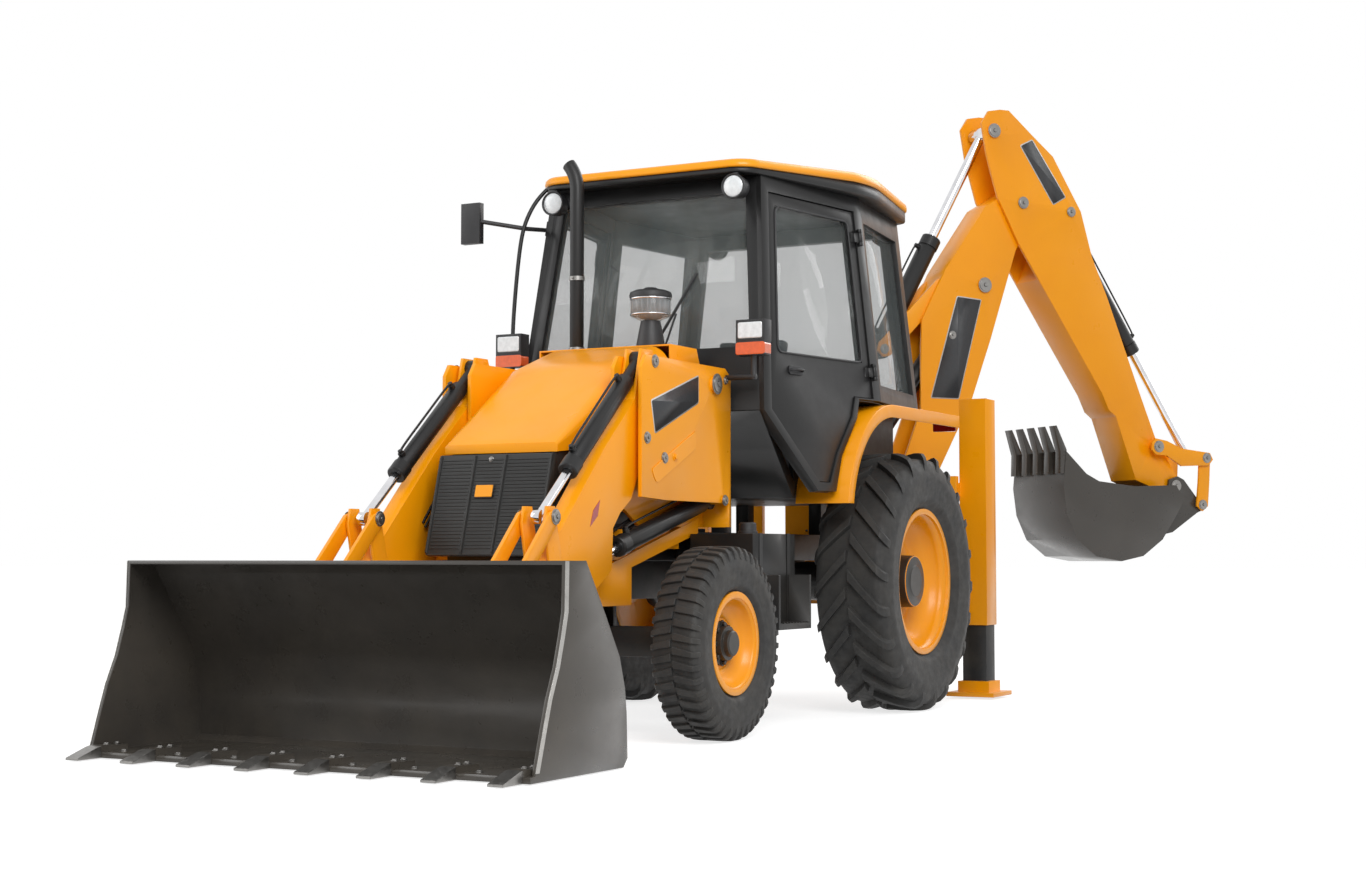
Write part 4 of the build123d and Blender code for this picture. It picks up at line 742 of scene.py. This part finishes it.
# Pins of the backhoe: name, body, rows of R, Z, distance of the head, radius
for name, body, rows in (
    ("kingpost_pins", "kingpost", ((200, 900, 123, 34), (60, 1450, 65, 28))),
    ("boom_pins", "boom", ((945, 2641, 127, 40), (205, 2190, 93, 26), (700, 2300, 115, 22))),
    ("dipper_pins", "dipper", ((1236, 3205, 149, 32), (1615, 3170, 149, 27), (1010, 3670, 155, 38))),
    ("lever_pins_hoe", "tipping_lever", ((2263, 1600, 209, 32), (2663, 1530, 208, 28))),
    ("link_pins_hoe", "tipping_link", ((2640, 1210, 188, 27),)),
    ("bucket_pins_hoe", "hoe_bucket", ((2435, 1337, 167, 32),)),
):
    bm = bmesh.new()
    for side in (1, -1):
        for r, z, out, radius in rows:
            pin_head(bm, hoe(r, z, side * out), HOE_SIDE * side, radius, 9)
    from_bmesh(name, bm, STEEL, body, 1)


# Blank sign plates with a pale border, and the covers and reflectors beside them
def sign(name, view, points, across, side, body):
    """Add a bare dark plate on a flat side."""
    loop = rounded(points, 14, 4)
    bm = bmesh.new()
    plate(bm, view, loop, across, across + side * 1.2)
    from_bmesh(f"{name}_edge", bm, PALE, body)
    bm = bmesh.new()
    plate(bm, view, inset(loop, 7), across + side * 0.4, across + side * 2.2)
    from_bmesh(f"{name}_plate", bm, SIGN, body)


for side, name in SIDES:
    for part, body, view, points, across in (
        ("tower", "machine", side_at, [(2255, 1590), (1770, 1745), (1770, 1605), (2215, 1430)], TOWER_OUT),
        ("boom", "boom", hoe, [(735, 2560), (925, 2545), (745, 1880), (530, 1880)], 115),
        ("dipper", "dipper", hoe, [(1215, 3590), (1315, 3640), (1580, 3265), (1475, 3205)], 141),
    ):
        sign(f"{part}_sign_{name}", view, points, side * across, side, body)
    bm = bmesh.new()
    panel = rounded([(2250, 1262), (1800, 1470), (1800, 1380), (2200, 1195)], 24, 5)
    plate(bm, side_at, panel, side * TOWER_OUT, side * (TOWER_OUT + 4))
    bolt(bm, at(2020, side * (TOWER_OUT + 4), 1330), LEFT * side, 14, 12)
    from_bmesh(f"tower_panel_{name}", bm, YELLOW, "machine", 3)
    bm = bmesh.new()
    mark = [(2640, 1108), (2700, 1060), (2727, 985), (2660, 1035)]
    plate(bm, side_at, mark, side * 515, side * 517)
    from_bmesh(f"arm_reflector_{name}", bm, RED, "loader_arms", 0.6)


# Rams: gland collar, ports and the steel line between them
def dress_ram(name, base, eye, barrel, rod, length, neck, body, above):
    """Dress a ram between two points: radii of barrel and rod, length and bare neck of the barrel,
    its body, and the direction that its ports point in."""
    along = (eye - base).normalized()
    bm = bmesh.new()
    lathe(bm, base, along, [(length - 70, barrel), (length - 70, barrel + 5), (length - 4, barrel + 5),
                            (length + 2, barrel), (length + 2, rod + 6), (length - 2, rod + 2)], 40)
    up = (above - along * above.dot(along)).normalized()
    start = base + along * ((neck + 50) / MM)
    stop = base + along * ((length - 100) / MM)
    for port in (start, stop):
        lathe(bm, port + up * ((barrel - 4) / MM), up, [(0, 17), (20, 17), (20, 12), (34, 12), (34, 0)], 16)
    from_bmesh(f"{name}_gland", bm, BLACK, body, 1)
    skin = up * (barrel / MM)
    lift = up * ((barrel + 30) / MM)
    bend = along * (30 / MM)
    wire(f"{name}_line", [start + skin, start + lift * 0.9, start + lift + bend, (start + stop) / 2 + lift,
                          stop + lift - bend, stop + lift * 0.9, stop + skin], 6, BLACK, body)


for side, name in SIDES:
    y = side * ARM_FACES / 2
    dress_ram(f"lift_ram_{name}", at(1506, y, 1134), at(2575, y, 850), 45, 25, 930, 60,
              "lift_ram_barrels", ABOVE)
    dress_ram(f"tilt_ram_{name}", at(2205, y, 1785), at(3090, y, 1023), 42, 21, 850, 165,
              "tilt_ram_barrels", ABOVE)
dress_ram("boom_ram", hoe(60, 1450), hoe(945, 2641), 62, 34, 1230, 130, "boom_ram_barrel", HOE_SIDE)
dress_ram("dipper_ram", hoe(205, 2190), hoe(1010, 3670), 60, 32, 860, 60, "dipper_ram_barrel",
          hoe(0, 1000) - hoe(1000, 0))
dress_ram("hoe_bucket_ram", hoe(1615, 3170), hoe(2663, 1530), 52, 28, 1090, 60, "hoe_bucket_ram_barrel",
          hoe(1000, 1000) - hoe(0, 0))

# Air cleaner: clear bowl between a black neck and cap, with a finned core and two clamping bands
BOWL = at(1600, 200, 0)
FINS = 18
bm = bmesh.new()
lathe(bm, BOWL, ABOVE, [(1912.5, 74), (1920, 75), (1990, 62), (2050, 50), (2052, 0)], 40)
from_bmesh("cleaner_neck", bm, PLASTIC, "machine", 1)
bm = bmesh.new()
lathe(bm, BOWL, ABOVE, [(2050, 52), (2072, 98), (2080, 105), (2165, 105), (2172, 100)], 40)
bowl = from_bmesh("cleaner_bowl", bm, BOWL_CLEAR, "machine")
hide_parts("pre_cleaner")
bm = bmesh.new()
lathe(bm, BOWL, ABOVE, [(2045, 0), (2066, 60), (2160, 55), (2165, 0)], 24)
for index in range(FINS):
    spot = spin(AHEAD, LEFT, math.tau * index / FINS)
    half = Vector((-spot.y, spot.x, 0)) * (2 / MM)
    inner = BOWL + spot * (55 / MM)
    outer = BOWL + spot * (100 / MM)
    ring = [inner + half, outer + half, outer - half, inner - half]
    prism(bm, [p + ABOVE * (2085 / MM) for p in ring], [p + ABOVE * (2160 / MM) for p in ring])
from_bmesh("cleaner_core", bm, GREY, "machine")
bm = bmesh.new()
lathe(bm, BOWL, ABOVE, [(2166, 0), (2166, 108), (2182, 110), (2196, 104), (2206, 80), (2212, 40), (2220, 30),
                        (2220, 0)], 44)
from_bmesh("cleaner_cap", bm, PLASTIC, "machine", 1)
bm = bmesh.new()
lathe(bm, BOWL, ABOVE, [(2157.5, 104), (2157.5, 107), (2166, 107), (2166, 104)], 44)
lathe(bm, BOWL, ABOVE, [(2078, 104), (2078, 106), (2084, 106), (2084, 104)], 44)
from_bmesh("cleaner_band", bm, CHROME, "machine")

# Exhaust clamps with their bolts
PIPE = (1500, -300)
CLAMP_RADIUS = 42
bm = bmesh.new()
for z in (1925, 2300):
    lathe(bm, at(*PIPE, z), ABOVE, [(0, 37), (0, CLAMP_RADIUS), (22, CLAMP_RADIUS), (22, 37)], 32)
    bolt(bm, at(PIPE[0] + CLAMP_RADIUS, PIPE[1], z + 11), AHEAD, 7, 10, False)
from_bmesh("exhaust_clamps", bm, STEEL, "machine", 0.8)

# Cab fittings: wiper, door handles and door seals
wire("wiper_arm", [at(1362, 60, 1690), at(1352, 80, 1760), at(1330, 140, 1960), at(1308, 190, 2120)],
     6, PLASTIC, "machine")
wire("wiper_blade", [at(1336, 40, 1900), at(1300, 210, 2180), at(1282, 300, 2330)], 8, PLASTIC, "machine")
DOOR_FALL_AHEAD = 0.19
DOOR_FALL_UP = 0.11


def door_at(side, x, z, out):
    """A point on a door's leaning side, by its distance out of it."""
    reach = 741 - DOOR_FALL_AHEAD * (x - 800) - DOOR_FALL_UP * (z - 2300)
    normal = Vector((DOOR_FALL_AHEAD, side, DOOR_FALL_UP)).normalized()
    return at(x, side * reach, z) + normal * out / MM


HANDLE = ((1120, 28), (1112, 52), (1070, 58), (1028, 52), (1020, 28))
for side, name in SIDES:
    body = f"door_{name}"
    bm = bmesh.new()
    loop = rounded([(1130, 1835), (1130, 1790), (1010, 1790), (1010, 1835)], 16)
    prism(bm, [door_at(side, x, z, 21) for x, z in loop], [door_at(side, x, z, 30) for x, z in loop])
    from_bmesh(f"handle_base_{name}", bm, PLASTIC, body, 2)
    wire(f"handle_{name}", [door_at(side, x, 1812, out) for x, out in HANDLE], 7, PLASTIC, body)
    seal = rounded([(1205, 1900), (1100, 2680), (445, 2680), (445, 1900)], 45, 4)
    wire(f"door_seal_{name}", [door_at(side, x, z, 23) for x, z in seal], 6, PLASTIC, body, True)

# Steering wheel with a padded rim and three spokes, and the knobs of the levers
HUB_PLACE = at(860, 0, 1900)
TILT = Vector((-0.45, 0, 1)).normalized()
WHEEL_AHEAD = LEFT.cross(TILT)
RIM_STEPS = 24
rim_points = [HUB_PLACE + spin(LEFT, WHEEL_AHEAD, math.tau * index / RIM_STEPS) * (178 / MM)
              for index in range(RIM_STEPS)]
wheel_rim = wire("wheel_rim", rim_points, 13, PLASTIC, "machine", True)
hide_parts("steering_wheel")


def spoke_ring(place, wide, low, high):
    """The section of a spoke at a place, from below its middle to above it."""
    low = TILT * (low / MM)
    high = TILT * (high / MM)
    return [place + wide - low, place - wide - low, place - wide + high, place + wide + high]


bm = bmesh.new()
lathe(bm, HUB_PLACE, TILT, [(-60, 0), (-60, 30), (-15, 50), (12, 50), (18, 40), (18, 0)], 28)
for angle in (90, 210, 330):
    spoke = spin(LEFT, WHEEL_AHEAD, math.radians(angle))
    wide = spoke.cross(TILT).normalized() * (14 / MM)
    prism(bm, spoke_ring(HUB_PLACE + spoke * (40 / MM), wide, 8, 2),
          spoke_ring(HUB_PLACE + spoke * (172 / MM), wide * 0.7, 6, 4))
from_bmesh("wheel_spokes", bm, PLASTIC, "machine", 2)
KNOBS = [(-390, -180, 1900), (-390, -60, 1900), (-390, 60, 1900), (-390, 180, 1900), (730, -460, 1960)]
bm = bmesh.new()
for x, y, z in KNOBS:
    lathe(bm, at(x, y, z - 12), ABOVE, [(0, 12), (6, 22), (26, 28), (46, 22), (56, 10), (58, 0)], 20)
from_bmesh("lever_knobs", bm, PLASTIC, "machine")


# Seat: two padded cushions on a pedestal
CUSHION_EDGE = 28
VOXEL, QUICK_VOXEL = 0.0055, 0.008  # metres
CLOTH_FRAMES = 20
CLOTH_PRESSURE = 4
PUFF = 14


def cushion(name, low, high, lean):
    """Make one padded cushion in the box between two corners, leaning back by an angle."""
    size = [b - a for a, b in zip(low, high)]
    middle = at(*[(a + b) / 2 for a, b in zip(low, high)])
    bm = bmesh.new()
    bmesh.ops.create_cube(bm, size=1)
    for v in bm.verts:
        v.co = Vector((v.co.x * size[0], v.co.y * size[1], v.co.z * size[2])) / MM
    bmesh.ops.bevel(bm, geom=bm.edges, offset=CUSHION_EDGE / MM, segments=4, profile=0.6, affect="EDGES")
    bmesh.ops.rotate(bm, verts=bm.verts, matrix=Matrix.Rotation(lean, 3, "Y"))
    for v in bm.verts:
        v.co += middle
    obj = from_bmesh(name, bm, FABRIC, "machine")
    remesh = obj.modifiers.new("remesh", "REMESH")
    remesh.mode = "VOXEL"
    remesh.voxel_size = VOXEL
    return obj


def apply_all(obj):
    """Turn an object's modifiers into its own mesh."""
    graph = bpy.context.evaluated_depsgraph_get()
    mesh = bpy.data.meshes.new_from_object(obj.evaluated_get(graph))
    obj.modifiers.clear()
    obj.data = mesh


def puff(obj, cap):
    """Blow a cushion up with the cloth simulation, no point moving further than the cap."""
    apply_all(obj)
    before = [v.co.copy() for v in obj.data.vertices]
    cloth = obj.modifiers.new("cloth", "CLOTH")
    cloth.settings.use_pressure = True
    cloth.settings.uniform_pressure_force = CLOTH_PRESSURE
    cloth.settings.effector_weights.gravity = 0
    for number in range(1, CLOTH_FRAMES + 1):
        bpy.context.scene.frame_set(number)
    apply_all(obj)
    for v, start in zip(obj.data.vertices, before):
        shift = v.co - start
        if shift.length > cap:
            v.co = start + shift.normalized() * cap
    bpy.context.scene.frame_set(1)
    smooth = obj.modifiers.new("smooth", "SMOOTH")
    smooth.iterations = 3
    shade_smooth(obj.data)


for name, low, high, lean in (
    ("seat_cushion", (70, -225, 1462), (548, 225, 1548), -3),
    ("seat_back", (-15, -215, 1580), (75, 215, 2110), -6),
):
    piece = cushion(name, low, high, math.radians(lean))
    puff(piece, PUFF / MM)
    if name == "seat_cushion":
        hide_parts("seat")

# Pedestal blocks: X from and to, half width, heights
SEAT_BLOCKS = ((170, 430, 150, 1190.5, 1215), (200, 400, 120, 1215, 1430), (110, 500, 190, 1430, 1456))
bm = bmesh.new()
for x0, x1, half, low, high in SEAT_BLOCKS:
    plate(bm, at, rounded(rect(x0, -half, x1, half), 25), low, high)
plate(bm, side_at, [(60, 1456), (120, 1456), (20, 2050), (-35, 2050)], -120, 120)
from_bmesh("seat_base", bm, PLASTIC, "machine", 3)
FOLDS = 7
FOLD_PITCH = 29
bm = bmesh.new()
for k in range(FOLDS):
    low = 1225 + k * FOLD_PITCH
    wide = 140 if k % 2 else 128
    plate(bm, at, rounded(rect(300 - wide, -wide, 300 + wide, wide), 30), low, low + 27)
from_bmesh("seat_bellows", bm, PLASTIC, "machine", 6)

# Loader bucket: bolts of its edge and teeth, bright tooth tips, and bright metal strips along the side edges
# that paint their highlight
TEETH = 8
TOOTH_PITCH = 300
EDGE_WIDTH = 26
EDGE_FACES = (1117.5, 1120.5)


def spread(count):
    """Distances across the bucket for a row of things one tooth pitch apart."""
    return [(index - (count - 1) / 2) * TOOTH_PITCH for index in range(count)]


def highlight_strip_ring(side, x, z):
    """The section of a bright side edge strip, a painted highlight, at a point of its outline."""
    inner, outer = [side * y for y in EDGE_FACES]
    return [at(x - EDGE_WIDTH, inner, z), at(x - EDGE_WIDTH, outer, z), at(x, outer, z), at(x, inner, z)]


bm = bmesh.new()
for y in spread(TEETH):
    for x in (4040, 4100):
        bolt(bm, at(x, y, 55.5), ABOVE, 10, 8)
for y in spread(TEETH - 1):
    for dy in (-60, 60):
        bolt(bm, at(4090, y + dy, 30), ABOVE, 11, 8)
from_bmesh("bucket_bolts", bm, STEEL, "loader_bucket", 0.8)
bm = bmesh.new()
for y in spread(TEETH):
    plate(bm, side_at, [(4166, 4.5), (4166, 55), (4190, 50), (4300.5, 14.5), (4300.5, 4.5)], y - 36, y + 36)
from_bmesh("bucket_tips", bm, STEEL, "loader_bucket", 3)
# Front edges of the side plates, where the bright strips paint a highlight
EDGE_LINE = [(3922, 832), (3927, 637), (3952, 545), (3988, 429), (4043, 309), (4079, 202), (4131, 40)]
bm = bmesh.new()
for side in (1, -1):
    for start, stop in zip(EDGE_LINE, EDGE_LINE[1:]):
        prism(bm, highlight_strip_ring(side, *start), highlight_strip_ring(side, *stop))
from_bmesh("bucket_edge_highlights", bm, HIGHLIGHT_STEEL, "loader_bucket", 0.5)

# Tank straps, treads of the side steps and the filler cap
TANK_IN, TANK_OUT = 425, 784
STRAP = 3.8
TREADS = 11
TREAD_PITCH = 34
bm = bmesh.new()
for side in (1, -1):
    for x in (1200, 1520):
        plate(bm, at, rect(x - 18, side * TANK_IN, x + 18, side * TANK_OUT), 486, 486 + STRAP)
        plate(bm, at, rect(x - 18, side * (TANK_OUT - STRAP), x + 18, side * TANK_OUT), 488, 968)
    for k in range(TREADS):
        x = 1200 + k * TREAD_PITCH
        block(bm, at, rect(x, side * 800, x + 10, side * 895), 520,
              rect(x + 2, side * 804, x + 8, side * 891), 525)
from_bmesh("tank_straps", bm, BLACK, "machine", 1)
bm = bmesh.new()
lathe(bm, at(1540, 720, 965), ABOVE, [(0, 50), (12, 50), (14, 44), (50, 42), (56, 36), (56, 0)], 32)
from_bmesh("filler_cap", bm, PLASTIC, "machine", 1)

# Hoses inside the towers, along the boom and from the frame to the carriage, and lines on the arms
for side, name in SIDES:
    for k in range(3):
        y = side * (370 - 16 * k)
        wire(f"tower_hose_{name}_{k}", [
            at(1500, y, 1300 - 40 * k), at(1600, y, 1240 - 40 * k), at(1850, y, 1130 - 45 * k),
            at(2150, y, 1010 - 40 * k), at(2420, y, 930 - 34 * k), at(2600, y, 905 - 30 * k),
        ], 9, HOSE, "machine")
    for k in range(2):
        y = side * (421 - 14 * k)
        wire(f"arm_line_{name}_{k}", [
            at(1720, y, 1690), at(2050, y, 1640 - 16 * k), at(2330, y, 1400 - 20 * k),
            at(2560, y, 1180 - 20 * k), at(2700, y, 1010 - 20 * k),
        ], 6, BLACK, "loader_arms")
BOOM_LINE = ((352, 960), (392, 1020), (858, 1890), (1004, 2280), (1082, 2500))
for k, n in enumerate((-50, -18, 18, 50)):
    wire(f"boom_line_{k}", [hoe(r, z, n) for r, z in BOOM_LINE], 8, HOSE, "boom")
for k, y in enumerate((-130, -90, 90, 130)):
    wire(f"rear_hose_{k}", [at(-1010, y, 1010), at(-1080, y * 1.1, 1090), at(-1170, y * 1.6, 1060),
                            at(-1230, y * 1.5, 960)], 10, HOSE, "machine")

# Rear lamps on the fenders and bolts on the leg boxes
bm = bmesh.new()
for side in (1, -1):
    y0, y1 = sorted((side * 780, side * 925))
    plate(bm, front_at, rounded(rect(y0, 1600, y1, 1668), 10), -844, -868)
from_bmesh("tail_lamps", bm, RED, "machine", 3)
bm = bmesh.new()
for side in (1, -1):
    for dy in (-55, 55):
        bolt(bm, at(-1160, side * 945 + dy, 1810), ABOVE, 10, 7)
from_bmesh("box_bolts", bm, STEEL, "machine", 0.8)

# Stage and light
FLOOR_REACH = 150  # metres
FLOOR_DROP = 1
FLOOR_GREY = 0.5
FLOOR_GLOW = 0.74
SKY_LIGHT = 0.55
WHITE = (1, 1, 1, 1)
# Lights: name, place, size in metres, power, aim
LIGHTS = (
    ("key", (9000, 7000, 7500), 6, 900, (0, 0, 1200)),
    ("fill", (7000, -9000, 5000), 8, 350, (0, 0, 1200)),
    ("rim", (-9000, 3000, 8000), 7, 500, (0, 0, 1500)),
)


def seen_ray(nodes, links):
    """One for rays that the camera, a mirror or a clear piece sends, else zero."""
    path = nodes.new("ShaderNodeLightPath")
    out = path.outputs["Is Camera Ray"]
    for kind in ("Is Glossy Ray", "Is Transmission Ray"):
        either = nodes.new("ShaderNodeMath")
        either.operation = "MAXIMUM"
        links.new(out, either.inputs[0])
        links.new(path.outputs[kind], either.inputs[1])
        out = either.outputs[0]
    return out


def stage():
    """Set up the bright floor and background and the three lights."""
    bm = bmesh.new()
    bm.faces.new([bm.verts.new((x, y, AXLE.z - FLOOR_DROP / MM))
                  for x, y in rect(-FLOOR_REACH, -FLOOR_REACH, FLOOR_REACH, FLOOR_REACH)])
    mesh = bpy.data.meshes.new("floor")
    bm.to_mesh(mesh)
    bm.free()
    floor = bpy.data.objects.new("floor", mesh)
    bpy.context.scene.collection.objects.link(floor)
    material = bpy.data.materials.new("floor")
    material.use_nodes = True
    nodes = material.node_tree.nodes
    links = material.node_tree.links
    shader = nodes["Principled BSDF"]
    shader.inputs["Base Color"].default_value = (FLOOR_GREY, FLOOR_GREY, FLOOR_GREY, 1)
    shader.inputs["Roughness"].default_value = 1.0
    shader.inputs["Specular IOR Level"].default_value = 0.0
    shader.inputs["Emission Color"].default_value = WHITE
    glow = nodes.new("ShaderNodeMath")
    glow.operation = "MULTIPLY"
    glow.inputs[1].default_value = FLOOR_GLOW
    links.new(seen_ray(nodes, links), glow.inputs[0])
    links.new(glow.outputs[0], shader.inputs["Emission Strength"])
    floor.data.materials.append(material)
    world = bpy.data.worlds.new("world")
    bpy.context.scene.world = world
    world.use_nodes = True
    nodes = world.node_tree.nodes
    links = world.node_tree.links
    background = nodes["Background"]
    background.inputs["Color"].default_value = WHITE
    background.inputs["Strength"].default_value = SKY_LIGHT
    seen = nodes.new("ShaderNodeBackground")
    seen.inputs["Color"].default_value = WHITE
    seen.inputs["Strength"].default_value = 1.0
    mixer = nodes.new("ShaderNodeMixShader")
    links.new(seen_ray(nodes, links), mixer.inputs["Fac"])
    links.new(background.outputs[0], mixer.inputs[1])
    links.new(seen.outputs[0], mixer.inputs[2])
    links.new(mixer.outputs[0], nodes["World Output"].inputs["Surface"])
    for name, place, size, power, target in LIGHTS:
        data = bpy.data.lights.new(name, "AREA")
        data.size = size
        data.energy = power
        lamp = bpy.data.objects.new(name, data)
        bpy.context.scene.collection.objects.link(lamp)
        lamp.location = at(*place)
        lamp.rotation_mode = "QUATERNION"
        lamp.rotation_quaternion = (at(*target) - lamp.location).to_track_quat("-Z", "Y")


stage()
bpy.context.scene.view_settings.view_transform = "Standard"
